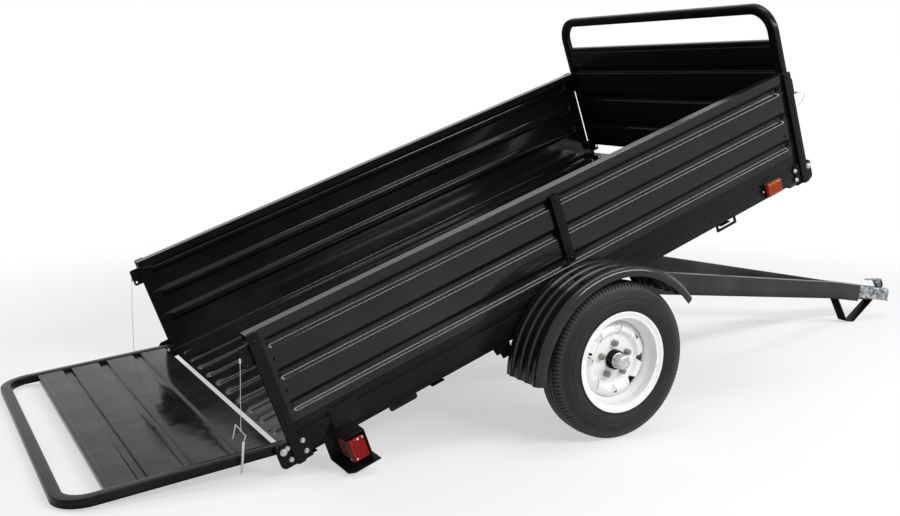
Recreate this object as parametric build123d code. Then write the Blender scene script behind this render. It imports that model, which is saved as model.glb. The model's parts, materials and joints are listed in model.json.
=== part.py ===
from build123d import *
import os
from math import asin, atan2, cos, degrees, hypot, pi, radians, sin, sqrt, tan

# Utility trailer with a tilting bed: 7.5 ft by 4.5 ft bed with ribbed steel walls, a drop gate at each
# end, one leaf-sprung axle and an A-frame drawbar on which the bed tips.
# Millimetres. +X is forwards (towards the coupler), +Y is left, +Z is up. The trailer is parked: the bed
# is tipped back until its open rear gate lies on the ground as a ramp, and the drawbar rests on its foot.
#
# Three local frames are used, and each piece is drawn square in the one that carries it:
#   bed frame      origin at the wheel centre line, x forwards along the bed, z square to the floor
#   drawbar frame  origin at the tilt pivot, x forwards along the drawbar
#   gate frame     origin at the gate's hinge bolt, z along the gate, x through its thickness

# ---------------------------------------------------------------- driving dimensions
BED_LENGTH = 2286.0          # 7.5 ft
BED_WIDTH = 1391.0           # over the side rails
REAR_OVERHANG = 1104.0       # rear end of the walls to the wheel centre
BED_TILT = 20.4              # degrees, tail down

# heights in the bed frame, above the wheel centre
RAIL_BOTTOM = 175.0
RAIL_HEIGHT = 110.0
RAIL_GROOVE = 77.0           # height of the pressed groove above the rail's underside
FLOOR_TOP = 191.0
WALL_TOP = 606.0

# sheet and plate
RAIL_WALL = 3.0
RAIL_FLANGE = 40.0
SHEET = 1.9                  # wall and floor sheet
FLOOR_CURB = 45.0            # height of the floor sheet's upturned edge
TOP_RAIL_DEPTH = 40.0
TOP_RAIL_HEIGHT = 30.0
TUBE_WALL = 2.0

# wheels
TYRE_RADIUS = 273.0          # 4.80-12 tyre
TYRE_WIDTH = 125.0
WHEEL_OUT = 200.5            # rail's outer face to the rim's outer lip
HUB_CAP_OUT = 9.0            # dust cap past the rim's lip
RIM_RADIUS = 174.0
BEAD_RADIUS = 152.4          # 12 inch bead seat
RIM_WIDTH = 118.0
RIM_SHEET = 3.2
LUG_CIRCLE = 114.3
DISC_OFFSET = 2.0            # rim's lug face out from its middle
LUG_HOLE = 13.5
LUG_COUNT = 5
WINDOW_COUNT = 8

# tilt pivot in the bed frame, and the drawbar
PIVOT_X = 352.3
PIVOT_Z = 86.6
PIVOT_BOLT = 16.0
DRAWBAR_HEIGHT = 83.0
DRAWBAR_TUBE = 37.0
DRAWBAR_WALL = 3.0
DRAWBAR_KNEE_X = 1801.0      # pivot to the bend where both legs turn parallel
DRAWBAR_NOSE = 1990.0        # pivot to the legs' front end
DRAWBAR_TAIL = 45.0          # pivot to the legs' rear end
EYE_INSET = 73.9             # rail's outer face to each pivot eye
FOOT_DROP = 152.5            # underside of the foot below the pivot
FOOT_BAR = 8.0
FOOT_WIDTH = 50.0
FOOT_SOLE_START = 1946.0     # pivot to the flat of the foot
FOOT_SOLE_END = 2005.0
COUPLER_TOP = 42.5
COUPLER_BOTTOM = -22.5
COUPLER_EDGE = 12.0          # rounding of the coupler's top edges
SOCKET_X = 2218.0            # pivot to the ball's centre
DOME_RADIUS = 34.0
COUPLER_LIP = 6.0

# gates
GATE_SIDE_GAP = 17.5         # gate's tube to the outer face of the side
GATE_LENGTH = 653.0          # hinge bolt to the hoop's end
GATE_TUBE = 38.0
GATE_DEPTH = 30.0
GATE_TAIL = 20.0             # hoop's legs past the hinge bolt
GATE_CORNER = 110.0          # outer corner radius
GATE_PANEL_START = 12.0
GATE_PANEL_END = 510.0
GATE_RIBS = (130.0, 265.0, 400.0)
GATE_SHEET = 1.5
REAR_HINGE_OUT = 24.5        # hinge bolt beyond the wall's end
FRONT_HINGE_OUT = 9.0
HINGE_Z = 220.0              # bed frame
HINGE_BOLT = 12.7

GATE_CLEARANCE = 5.0         # between a gate and what it passes
PIN_CLEARANCE = 0.05         # radial, round a pin or spindle
SIDE_GAP = 0.3               # between faces that slide past each other

# ---------------------------------------------------------------- derived sizes
HALF_WIDTH = BED_WIDTH / 2
GATE_WIDTH = BED_WIDTH - 2 * GATE_SIDE_GAP
EYE_Y = HALF_WIDTH - EYE_INSET
WHEEL_OUTER_FACE = HALF_WIDTH + WHEEL_OUT
HUB_CAP_END = WHEEL_OUTER_FACE + HUB_CAP_OUT
BED_REAR = -REAR_OVERHANG
BED_FRONT = BED_LENGTH - REAR_OVERHANG
RAIL_TOP = RAIL_BOTTOM + RAIL_HEIGHT
RAIL_INNER = HALF_WIDTH - RAIL_WALL
TOP_RAIL_BOTTOM = WALL_TOP - TOP_RAIL_HEIGHT


# ---------------------------------------------------------------- helpers
def box(x0, x1, y0, y1, z0, z1):
    return Pos((x0 + x1) / 2, (y0 + y1) / 2, (z0 + z1) / 2) * Box(abs(x1 - x0), abs(y1 - y0), abs(z1 - z0))


def prism_y(points, y0, y1):
    """Solid from an outline of (x, z) points, from y0 to y1."""
    outline = Wire.make_polygon([(x, y0, z) for x, z in points])
    return Solid.extrude(Face(outline), Vector(0, y1 - y0, 0))


def prism_x(points, x0, x1):
    """Solid from an outline of (y, z) points, from x0 to x1."""
    outline = Wire.make_polygon([(x0, y, z) for y, z in points])
    return Solid.extrude(Face(outline), Vector(x1 - x0, 0, 0))


def prism_z(points, z0, z1):
    """Solid from an outline of (x, y) points, from z0 to z1."""
    outline = Wire.make_polygon([(x, y, z0) for x, y in points])
    return Solid.extrude(Face(outline), Vector(0, 0, z1 - z0))


def rod_y(x, z, radius, y0, y1):
    return Solid.make_cylinder(radius, abs(y1 - y0), Plane(origin=(x, min(y0, y1), z), z_dir=(0, 1, 0)))


def rod(start, end, radius):
    direction = Vector(*end) - Vector(*start)
    return Solid.make_cylinder(radius, direction.length, Plane(origin=start, z_dir=direction))


def sector(centre_x, centre_z, inner, outer, angle0, angle1, y0, y1):
    """Arched strip: part of a ring about (centre_x, centre_z), angles in degrees from +X towards +Z."""
    def point(radius, angle):
        a = radians(angle)
        return (centre_x + radius * cos(a), y0, centre_z + radius * sin(a))
    middle = (angle0 + angle1) / 2
    edges = [
        Edge.make_three_point_arc(point(inner, angle0), point(inner, middle), point(inner, angle1)),
        Edge.make_line(point(inner, angle1), point(outer, angle1)),
        Edge.make_three_point_arc(point(outer, angle1), point(outer, middle), point(outer, angle0)),
        Edge.make_line(point(outer, angle0), point(inner, angle0)),
    ]
    return Solid.extrude(Face(Wire(edges)), Vector(0, y1 - y0, 0))


def turned(points, axis_x=0.0, axis_z=0.0, angle=360.0, start=0.0):
    """Solid of revolution about an axis along Y; points are (radius, y)."""
    a = radians(start)
    outline = Wire.make_polygon([(axis_x + r * cos(a), y, axis_z + r * sin(a)) for r, y in points])
    axis = Axis((axis_x, 0, axis_z), (0, -1, 0))
    return Solid.revolve(Face(outline), angle, axis)


def sheet_outline(line, thickness):
    """Closed outline of a folded sheet: line is its outer face, thickness is laid on the left of it."""
    offset = []
    for i, (a, b) in enumerate(line):
        before = line[i - 1] if i else None
        after = line[i + 1] if i < len(line) - 1 else None
        normals = []
        for p, q in ((before, (a, b)), ((a, b), after)):
            if p and q:
                length = hypot(q[0] - p[0], q[1] - p[1])
                normals.append((-(q[1] - p[1]) / length, (q[0] - p[0]) / length))
        if len(normals) == 1:
            n = normals[0]
            offset.append((a + n[0] * thickness, b + n[1] * thickness))
        else:
            m, n = normals
            scale = thickness / (1 + m[0] * n[0] + m[1] * n[1])
            offset.append((a + (m[0] + n[0]) * scale, b + (m[1] + n[1]) * scale))
    return list(line) + offset[::-1]


def other_side(shape):
    return shape.mirror(Plane.XZ)


nodes = {}


def add(name, shape, place):
    nodes[name] = place * shape


def add_pair(name, left_shape, place):
    """A piece on the left side and its mirror image on the right."""
    add(name + "_left", left_shape, place)
    add(name + "_right", other_side(left_shape), place)


# ---------------------------------------------------------------- where the three frames stand
tilt = radians(BED_TILT)


def bed_to_ground(x, z):
    """Point of the bed frame in a frame on the ground under the wheel centre."""
    return (x * cos(tilt) - z * sin(tilt), TYRE_RADIUS + x * sin(tilt) + z * cos(tilt))


pivot_ground = bed_to_ground(PIVOT_X, PIVOT_Z)
sole_reach = hypot(FOOT_SOLE_END, FOOT_DROP)
drawbar_drop = asin(pivot_ground[1] / sole_reach) - atan2(FOOT_DROP, FOOT_SOLE_END)

rear_hinge_ground = bed_to_ground(BED_REAR - REAR_HINGE_OUT, HINGE_Z)
gate_reach = hypot(GATE_LENGTH, GATE_DEPTH / 2)
gate_slope = asin(rear_hinge_ground[1] / gate_reach) - atan2(GATE_DEPTH / 2, GATE_LENGTH)
REAR_GATE_OPEN = 90.0 - (BED_TILT - degrees(gate_slope))     # degrees open from closed

nose_x = SOCKET_X + DOME_RADIUS - COUPLER_EDGE
nose_z = COUPLER_TOP - COUPLER_EDGE
rear_end = rear_hinge_ground[0] - GATE_LENGTH * cos(gate_slope) - GATE_DEPTH / 2 * sin(gate_slope)
front_end = pivot_ground[0] + nose_x * cos(drawbar_drop) + nose_z * sin(drawbar_drop) + COUPLER_EDGE
AXLE_X = -(rear_end + front_end) / 2

bed = Pos(AXLE_X, 0, TYRE_RADIUS) * Rot(0, -BED_TILT, 0)
drawbar = Pos(AXLE_X + pivot_ground[0], 0, pivot_ground[1]) * Rot(0, degrees(drawbar_drop), 0)
rear_gate = bed * Pos(BED_REAR - REAR_HINGE_OUT, 0, HINGE_Z) * Rot(0, -REAR_GATE_OPEN, 0)
front_gate = bed * Pos(BED_FRONT + FRONT_HINGE_OUT, 0, HINGE_Z) * Rot(0, 0, 180)

# ---------------------------------------------------------------- side rails and cross members
GROOVE_WIDTH = 4.0
GROOVE_DEPTH = 1.2
rail_section = sheet_outline([
    (HALF_WIDTH - RAIL_FLANGE, RAIL_BOTTOM),
    (HALF_WIDTH, RAIL_BOTTOM),
    (HALF_WIDTH, RAIL_TOP),
], RAIL_WALL)
side_rail = prism_x(rail_section, BED_REAR, BED_FRONT)
groove_z = RAIL_BOTTOM + RAIL_GROOVE
side_rail -= box(BED_REAR, BED_FRONT, HALF_WIDTH - GROOVE_DEPTH, HALF_WIDTH,
                 groove_z - GROOVE_WIDTH / 2, groove_z + GROOVE_WIDTH / 2)
add_pair("side_rail", side_rail, bed)

CROSS_MEMBER_DEPTH = 45.0
CROSS_MEMBER_WIDTH = 50.0
CROSS_MEMBER_WALL = 3.0
REAR_MEMBER_INSET = 62.0     # bed's rear end to the centre of the last member
FRONT_MEMBER_INSET = 30.0
REAR_MEMBER_X = -560.0
FRONT_MEMBER_X = 770.0
floor_underside = FLOOR_TOP - SHEET
cross_bottom = floor_underside - CROSS_MEMBER_DEPTH
cross_half = HALF_WIDTH - RAIL_FLANGE
cross_members = []
for x in (BED_REAR + REAR_MEMBER_INSET, REAR_MEMBER_X, PIVOT_X, FRONT_MEMBER_X, BED_FRONT - FRONT_MEMBER_INSET):
    half = CROSS_MEMBER_WIDTH / 2
    channel = box(x - half, x + half, -cross_half, cross_half, cross_bottom, floor_underside)
    hollow = box(x - half + CROSS_MEMBER_WALL, x + half, -cross_half, cross_half,
                 cross_bottom + CROSS_MEMBER_WALL, floor_underside - CROSS_MEMBER_WALL)
    cross_members.append(channel - hollow)
add("cross_members", Compound(cross_members), bed)

# ---------------------------------------------------------------- floor sheet with lengthwise ribs
FLOOR_RIB_COUNT = 11
FLOOR_RIB_WIDTH = 46.0
FLOOR_RIB_CREST = 26.0
FLOOR_RIB_HEIGHT = 8.0
FLOOR_FRONT_GAP = 24.0       # leaves the closed front gate room to turn
wall_inner = RAIL_INNER - SHEET
floor_edge = wall_inner - SHEET
rib_pitch = 2 * floor_edge / (FLOOR_RIB_COUNT + 0.5)
floor_line = [(wall_inner, FLOOR_TOP - SHEET + FLOOR_CURB), (wall_inner, FLOOR_TOP - SHEET)]
for i in reversed(range(FLOOR_RIB_COUNT)):
    y = (i - (FLOOR_RIB_COUNT - 1) / 2) * rib_pitch
    floor_line += [
        (y + FLOOR_RIB_WIDTH / 2, FLOOR_TOP - SHEET),
        (y + FLOOR_RIB_CREST / 2, FLOOR_TOP - SHEET + FLOOR_RIB_HEIGHT),
        (y - FLOOR_RIB_CREST / 2, FLOOR_TOP - SHEET + FLOOR_RIB_HEIGHT),
        (y - FLOOR_RIB_WIDTH / 2, FLOOR_TOP - SHEET),
    ]
floor_line += [(-wall_inner, FLOOR_TOP - SHEET), (-wall_inner, FLOOR_TOP - SHEET + FLOOR_CURB)]
floor_sheet = prism_x(sheet_outline(floor_line[::-1], SHEET), BED_REAR, BED_FRONT - FLOOR_FRONT_GAP)
add("floor_sheet", floor_sheet, bed)

# ---------------------------------------------------------------- ribbed side walls and top rails
WALL_RIBS = (331.0, 445.0, 547.0)      # centres, bed frame
WALL_RIB_WIDTH = 38.0
WALL_RIB_CREST = 14.0
WALL_RIB_DEPTH = 7.5
wall_foot = RAIL_BOTTOM + RAIL_WALL
wall_line = [(RAIL_INNER, wall_foot)]
for z in WALL_RIBS:
    wall_line += [
        (RAIL_INNER, z - WALL_RIB_WIDTH / 2),
        (RAIL_INNER - WALL_RIB_DEPTH, z - WALL_RIB_CREST / 2),
        (RAIL_INNER - WALL_RIB_DEPTH, z + WALL_RIB_CREST / 2),
        (RAIL_INNER, z + WALL_RIB_WIDTH / 2),
    ]
wall_line += [(RAIL_INNER, TOP_RAIL_BOTTOM)]
side_wall = prism_x(sheet_outline(wall_line, SHEET), BED_REAR, BED_FRONT)
add_pair("side_wall", side_wall, bed)

top_rail_end = BED_FRONT + FRONT_HINGE_OUT - GATE_DEPTH / 2 - GATE_CLEARANCE
top_rail = box(BED_REAR, top_rail_end, HALF_WIDTH - TOP_RAIL_DEPTH, HALF_WIDTH, TOP_RAIL_BOTTOM, WALL_TOP)
top_rail -= box(BED_REAR, top_rail_end, HALF_WIDTH - TOP_RAIL_DEPTH + TUBE_WALL, HALF_WIDTH - TUBE_WALL,
                TOP_RAIL_BOTTOM + TUBE_WALL, WALL_TOP - TUBE_WALL)
add_pair("top_rail", top_rail, bed)

# ---------------------------------------------------------------- posts, latch plates and hinge brackets
POST_WIDTH = 35.0
POST_DEPTH = 12.0
POST_WALL = 3.0
POST_BOTTOM = 160.0
POST_CORNER = 10.0           # rounding of the end posts' feet
MID_POST_X = 13.5
MID_POST_GAP = 44.0          # side rail's top to the middle post's foot
FRONT_POST_OUT = 4.0         # front post's edge beyond the wall's end
HINGE_PLATE = 5.0
HINGE_PLATE_BOTTOM = 162.0
HINGE_PLATE_TOP = 243.0
HINGE_PLATE_IN = 60.0        # along the wall, from its end
HINGE_PLATE_OUT = 21.0       # past the hinge bolt
HINGE_PLATE_CORNER = 18.0
HINGE_HEAD = 11.0            # radius of the hinge bolt's head
HINGE_HEAD_LENGTH = 8.0
HINGE_HEAD_GAP = 1.0         # between the head and the post's edge
HINGE_SPACER = 8.5           # radius of the spacer between gate and wall
HINGE_THREAD_END = 4.0       # bolt's end past the gate's tube
LATCH_PLATE_DEPTH = 67.0     # below the top rail
LATCH_PLATE_IN = 30.0
REAR_LATCH_OUT = 36.0
FRONT_LATCH_OUT = 21.0
LATCH_PLATE_CORNER = 8.0
LATCH_DROP = 54.0            # latch hole below the top rail
LATCH_PIN = 8.0
LATCH_HOLE = 9.0
FERRULE_RADIUS = 3.5         # crimp that ends each wire lanyard
FERRULE_LENGTH = 14.0
FERRULE_SEAT = 1.0           # pressed into what carries it
FRONT_ANCHOR_DROP = 113.0    # front lanyard's rivet below the top rail
REAR_ANCHOR_DROP = 35.0
post_face = HALF_WIDTH + POST_DEPTH
front_hinge_x = BED_FRONT + FRONT_HINGE_OUT
rear_hinge_x = BED_REAR - REAR_HINGE_OUT
latch_z = TOP_RAIL_BOTTOM - LATCH_DROP


def rounded_plate(x0, x1, y0, y1, z0, z1, radius, corners):
    """Upright plate with rounded corners: any of "--", "+-", "++", "-+" for rear or front and low or high."""
    plate = box(x0, x1, y0, y1, z0, z1)
    for corner in corners:
        x = x0 if corner[0] == "-" else x1
        z = z0 if corner[1] == "-" else z1
        cx = x + (radius if corner[0] == "-" else -radius)
        cz = z + (radius if corner[1] == "-" else -radius)
        plate -= box(*sorted((x, cx)), y0, y1, *sorted((z, cz))) - rod_y(cx, cz, radius, y0, y1)
    return plate


front_anchor = (BED_FRONT + FRONT_POST_OUT - FERRULE_SEAT, HALF_WIDTH + POST_DEPTH / 2,
                TOP_RAIL_BOTTOM - FRONT_ANCHOR_DROP)
front_ferrule_end = (front_anchor[0] + FERRULE_LENGTH / 2, *front_anchor[1:])
posts = []
for x, top, bottom in (
    (BED_REAR, WALL_TOP, POST_BOTTOM),
    (MID_POST_X, TOP_RAIL_BOTTOM, RAIL_TOP + MID_POST_GAP),
    (BED_FRONT + FRONT_POST_OUT - POST_WIDTH, WALL_TOP, POST_BOTTOM),
):
    post = rounded_plate(x, x + POST_WIDTH, HALF_WIDTH, post_face, bottom, top, POST_CORNER, ("--", "+-"))
    post -= box(x + POST_WALL, x + POST_WIDTH - POST_WALL, HALF_WIDTH, post_face - POST_WALL,
                bottom + POST_CORNER, top)
    post -= box(x, x + POST_WIDTH, HALF_WIDTH, HALF_WIDTH + HINGE_PLATE, POST_BOTTOM, HINGE_PLATE_TOP)
    post -= rod_y(front_hinge_x, HINGE_Z, HINGE_HEAD + HINGE_HEAD_GAP, HALF_WIDTH, post_face)
    posts.append(post)
posts[-1] += rod(front_anchor, front_ferrule_end, FERRULE_RADIUS)
add_pair("posts", Compound(posts), bed)

latch_plates = []
hinge_brackets = []
for end, out, hinge_x, latch_out in (
    (BED_REAR, -1, rear_hinge_x, REAR_LATCH_OUT),
    (BED_FRONT, 1, front_hinge_x, FRONT_LATCH_OUT),
):
    facing = "-" if out < 0 else "+"
    plate_x = sorted((end - out * LATCH_PLATE_IN, end + out * latch_out))
    plate = rounded_plate(*plate_x, RAIL_INNER, HALF_WIDTH, TOP_RAIL_BOTTOM - LATCH_PLATE_DEPTH, TOP_RAIL_BOTTOM,
                          LATCH_PLATE_CORNER, (facing + "-", facing + "+"))
    plate -= rod_y(hinge_x, latch_z, LATCH_HOLE / 2, RAIL_INNER, HALF_WIDTH)
    latch_plates.append(plate)
    bracket_x = sorted((end - out * HINGE_PLATE_IN, hinge_x + out * HINGE_PLATE_OUT))
    bracket = rounded_plate(*bracket_x, HALF_WIDTH, HALF_WIDTH + HINGE_PLATE, HINGE_PLATE_BOTTOM, HINGE_PLATE_TOP,
                            HINGE_PLATE_CORNER, (facing + "-", facing + "+"))
    bracket += rod_y(hinge_x, HINGE_Z, HINGE_SPACER, GATE_WIDTH / 2 + SIDE_GAP, HALF_WIDTH)
    bracket += rod_y(hinge_x, HINGE_Z, HINGE_BOLT / 2, GATE_WIDTH / 2 - GATE_TUBE - HINGE_THREAD_END, HALF_WIDTH)
    bracket += rod_y(hinge_x, HINGE_Z, HINGE_HEAD, HALF_WIDTH + HINGE_PLATE,
                     HALF_WIDTH + HINGE_PLATE + HINGE_HEAD_LENGTH)
    hinge_brackets.append(bracket)
# the rear lanyards' ferrules hang plumb against the plates' rear edges
rear_anchor = (BED_REAR - REAR_LATCH_OUT - FERRULE_RADIUS + FERRULE_SEAT, (RAIL_INNER + HALF_WIDTH) / 2,
               TOP_RAIL_BOTTOM - REAR_ANCHOR_DROP)
plumb = Pos(*rear_anchor) * Rot(0, BED_TILT, 0)
rear_ferrule = plumb * Pos(0, 0, -FERRULE_LENGTH / 2) * Solid.make_cylinder(FERRULE_RADIUS, FERRULE_LENGTH)
latch_plates[0] += rear_ferrule
add_pair("latch_plates", Compound(latch_plates), bed)
add_pair("hinge_brackets", Compound(hinge_brackets), bed)

# ---------------------------------------------------------------- axle, springs and hangers
AXLE_BEAM = 40.0
SPINDLE_DIAMETER = 30.0
HUB_BARREL = 77.0            # hub's inner end behind its flange
HUB_FLANGE = 9.0
SPINDLE_SEAT = 17.0          # hub's inner end to the shoulder of the beam
SPINDLE_END_GAP = 40.0       # spindle's end to the dust cap's face
SPRING_INSET = 22.5          # rail's outer face to the spring's middle
SPRING_WIDTH = 36.0
LEAF = 7.0
LEAF_HALF_LENGTHS = (300.0, 225.0, 150.0)
SPRING_EYE_X = 305.0
SPRING_EYE_Z = 146.0
SPRING_EYE_RADIUS = 15.0
SPRING_PIN = 12.0
HANGER_PLATE = 4.0
HANGER_REAR = 32.0           # hanger's plates about the eye
HANGER_FRONT = 20.0
HANGER_DROP = 18.0
leaf_bottom = AXLE_BEAM / 2
spring_top = leaf_bottom + LEAF * len(LEAF_HALF_LENGTHS)
tyre_mid = WHEEL_OUTER_FACE - RIM_WIDTH / 2
hub_face = tyre_mid + DISC_OFFSET
hub_inner = hub_face - HUB_BARREL
beam_end = hub_inner - SPINDLE_SEAT

axle = box(-AXLE_BEAM / 2, AXLE_BEAM / 2, -beam_end, beam_end, -AXLE_BEAM / 2, AXLE_BEAM / 2)
for side in (-1, 1):
    axle += rod_y(0, 0, SPINDLE_DIAMETER / 2, side * beam_end, side * (HUB_CAP_END - SPINDLE_END_GAP))
add("axle_beam", axle, bed)

sag = SPRING_EYE_Z - spring_top
spring_radius = (SPRING_EYE_X ** 2 + sag ** 2) / (2 * sag)
arc_centre_z = spring_top + spring_radius
spring_middle = HALF_WIDTH - SPRING_INSET
spring_y = (spring_middle - SPRING_WIDTH / 2, spring_middle + SPRING_WIDTH / 2)
leaf_spring = None
for i, half_length in enumerate(LEAF_HALF_LENGTHS):
    inner = spring_radius + i * LEAF
    spread = degrees(asin(half_length / inner))
    leaf = sector(0, arc_centre_z, inner, inner + LEAF, 270 - spread, 270 + spread, *spring_y)
    leaf_spring = leaf if leaf_spring is None else leaf_spring + leaf
for x in (-SPRING_EYE_X, SPRING_EYE_X):
    leaf_spring += rod_y(x, SPRING_EYE_Z, SPRING_EYE_RADIUS, *spring_y)
for x in (-SPRING_EYE_X, SPRING_EYE_X):
    leaf_spring -= rod_y(x, SPRING_EYE_Z, SPRING_PIN / 2 + PIN_CLEARANCE, *spring_y)
add_pair("leaf_spring", leaf_spring, bed)

hangers = []
hanger_y = (spring_y[0] - SIDE_GAP, spring_y[1] + SIDE_GAP)
for x in (-SPRING_EYE_X, SPRING_EYE_X):
    outline = [(x - HANGER_REAR, RAIL_BOTTOM), (x + HANGER_FRONT, RAIL_BOTTOM),
               (x + HANGER_FRONT, SPRING_EYE_Z - HANGER_DROP), (x - HANGER_FRONT, SPRING_EYE_Z - HANGER_DROP)]
    hanger = prism_y(outline, hanger_y[0] - HANGER_PLATE, hanger_y[0])
    hanger += prism_y(outline, hanger_y[1], hanger_y[1] + HANGER_PLATE)
    hanger += box(x - HANGER_REAR, x + HANGER_FRONT, *hanger_y, RAIL_BOTTOM - HANGER_PLATE, RAIL_BOTTOM)
    hanger += rod_y(x, SPRING_EYE_Z, SPRING_PIN / 2, *hanger_y)
    hangers.append(hanger)
add_pair("spring_hangers", Compound(hangers), bed)

# ---------------------------------------------------------------- tilt pivot hangers
EYE_PLATE = 14.0
EYE_RADIUS = 28.0
EAR_PLATE = 6.0
EAR_HALF = 25.0              # half width of the ears under the cross member
EAR_TIP = 10.0               # half width at their foot
EAR_SHOULDER = 8.0
EAR_DROP = 26.0
PIVOT_HEAD = 13.0            # radius of the bolt's head and nut
PIVOT_HEAD_LENGTH = 10.0
ear_inner = EYE_Y - EYE_PLATE / 2 - SIDE_GAP
ear_outer = EYE_Y + EYE_PLATE / 2 + SIDE_GAP
ear_outline = [
    (PIVOT_X - EAR_HALF, cross_bottom), (PIVOT_X + EAR_HALF, cross_bottom),
    (PIVOT_X + EAR_HALF, PIVOT_Z - EAR_SHOULDER), (PIVOT_X + EAR_TIP, PIVOT_Z - EAR_DROP),
    (PIVOT_X - EAR_TIP, PIVOT_Z - EAR_DROP), (PIVOT_X - EAR_HALF, PIVOT_Z - EAR_SHOULDER),
]
hanger = prism_y(ear_outline, ear_inner - EAR_PLATE, ear_inner)
hanger += prism_y(ear_outline, ear_outer, ear_outer + EAR_PLATE)
hanger += box(PIVOT_X - EAR_HALF, PIVOT_X + EAR_HALF, ear_inner, ear_outer, cross_bottom - EAR_PLATE, cross_bottom)
hanger += rod_y(PIVOT_X, PIVOT_Z, PIVOT_BOLT / 2, ear_inner, ear_outer)
for face, out in ((ear_outer + EAR_PLATE, 1), (ear_inner - EAR_PLATE, -1)):
    hanger += rod_y(PIVOT_X, PIVOT_Z, PIVOT_HEAD, face, face + out * PIVOT_HEAD_LENGTH)
add_pair("pivot_hanger", hanger, bed)

# ---------------------------------------------------------------- fenders
FENDER_CENTRE_Z = -45.0      # centre of the fender's arch, bed frame
FENDER_RADIUS = 370.0
FENDER_END_Z = 85.0
FENDER_SHEET = 2.0
FENDER_GAP = 1.5             # to the posts' faces
FENDER_OUT = 206.5           # rail's outer face to the fender's outer edge
FENDER_LIP = 34.0            # depth of the rolled outer edge
FENDER_ROLL = 46.0           # width of the roll across the fender
FENDER_RIDGE_PITCH = 44.0
FENDER_RIDGE_BASE = 24.0
FENDER_RIDGE_CREST = 8.0
FENDER_RIDGE_HEIGHT = 5.0
FENDER_CROWN = 6.0           # the arch's highest roll above the flat of the sheet
FENDER_INNER_FLANGE = 20.0
FENDER_LUG_X = 236.0         # brackets that carry the fender on the side rail
FENDER_LUG = 40.0
fender_inner = post_face + FENDER_GAP + FENDER_SHEET
fender_outer = HALF_WIDTH + FENDER_OUT
end_angle = degrees(asin((FENDER_END_Z - FENDER_CENTRE_Z) / FENDER_RADIUS))
flat = FENDER_RADIUS - FENDER_CROWN
ridge_count = int((fender_outer - FENDER_ROLL - fender_inner) / FENDER_RIDGE_PITCH)
fender_line = [(flat - FENDER_INNER_FLANGE, fender_inner), (flat, fender_inner)]
for i in reversed(range(ridge_count)):
    y = fender_outer - FENDER_ROLL - FENDER_RIDGE_BASE - FENDER_RIDGE_HEIGHT / 2 - i * FENDER_RIDGE_PITCH
    fender_line += [
        (flat, y - FENDER_RIDGE_BASE / 2), (flat + FENDER_RIDGE_HEIGHT, y - FENDER_RIDGE_CREST / 2),
        (flat + FENDER_RIDGE_HEIGHT, y + FENDER_RIDGE_CREST / 2), (flat, y + FENDER_RIDGE_BASE / 2),
    ]
roll = FENDER_ROLL / 2       # half the roll's width; its profile drops from the crown to the lip's edge
fender_line += [
    (flat, fender_outer - FENDER_ROLL),
    (flat + FENDER_CROWN * 0.7, fender_outer - roll),
    (flat, fender_outer - roll * 0.4),
    (flat - FENDER_CROWN * 1.5, fender_outer - roll * 0.1),
    (FENDER_RADIUS - FENDER_LIP, fender_outer),
]
fender = turned(sheet_outline(fender_line[::-1], FENDER_SHEET), 0, FENDER_CENTRE_Z,
                180 - 2 * end_angle, end_angle)
lug_z = FENDER_CENTRE_Z + sqrt((flat - FENDER_INNER_FLANGE) ** 2 - FENDER_LUG_X ** 2)
for x in (-FENDER_LUG_X, FENDER_LUG_X):
    fender += box(x - FENDER_LUG / 2, x + FENDER_LUG / 2, HALF_WIDTH, fender_inner + FENDER_SHEET,
                  lug_z - FENDER_LUG / 2, lug_z + FENDER_LUG / 2)
add_pair("fender", fender, bed)

# ---------------------------------------------------------------- tail lights, side markers, tie loops
LIGHT_REAR = -958.0
LIGHT_FRONT = -898.0
LIGHT_WIDTH = 89.0
LIGHT_TOP = 186.0
LIGHT_HEIGHT = 77.0
LIGHT_PLATE = 4.0            # bent plate that carries the light
LIGHT_PLATE_SIDE = 5.0       # past the light, outwards
LIGHT_PLATE_IN = 60.0        # past the rail, inwards
LIGHT_PLATE_REAR = 26.0      # bracket's inner side past the light, rearwards
LIGHT_SHELF_DROP = 22.0      # shelf's top below the light
LIGHT_SHELF_FRONT = 20.0     # shelf past the upright plate
LIGHT_SHELF_CORNER = 18.0
LIGHT_GUSSET = 30.0          # height of the gusset on the shelf's front
LIGHT_HOOD_GAP = 12.0        # hood's underside above the light
LIGHT_HOOD_REAR = 3.0
LIGHT_WEB_TOP = 272.0        # plate against the rail
LIGHT_WEB_REAR = 56.0
LIGHT_WEB_FRONT = 44.0
light_y = (HALF_WIDTH + 0.5, HALF_WIDTH + LIGHT_WIDTH)
light_bottom = LIGHT_TOP - LIGHT_HEIGHT
tail_light = box(LIGHT_REAR, LIGHT_FRONT, *light_y, light_bottom, LIGHT_TOP)
add_pair("tail_light", tail_light, bed)
plate_y = (HALF_WIDTH - LIGHT_PLATE_IN, light_y[1] + LIGHT_PLATE_SIDE)
plate_front = LIGHT_FRONT + LIGHT_PLATE
plate_rear = LIGHT_REAR - LIGHT_PLATE_REAR
shelf_top = light_bottom - LIGHT_SHELF_DROP
shelf_bottom = shelf_top - LIGHT_PLATE
shelf_front = plate_front + LIGHT_SHELF_FRONT
hood_bottom = LIGHT_TOP + LIGHT_HOOD_GAP
hood_top = hood_bottom + LIGHT_PLATE
light_bracket = box(LIGHT_FRONT, plate_front, *plate_y, shelf_bottom, RAIL_BOTTOM)
light_bracket += box(LIGHT_FRONT, plate_front, HALF_WIDTH, plate_y[1], RAIL_BOTTOM, hood_top)
light_bracket += box(plate_rear, plate_front, plate_y[0], plate_y[0] + LIGHT_PLATE, shelf_bottom, RAIL_BOTTOM)
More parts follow.
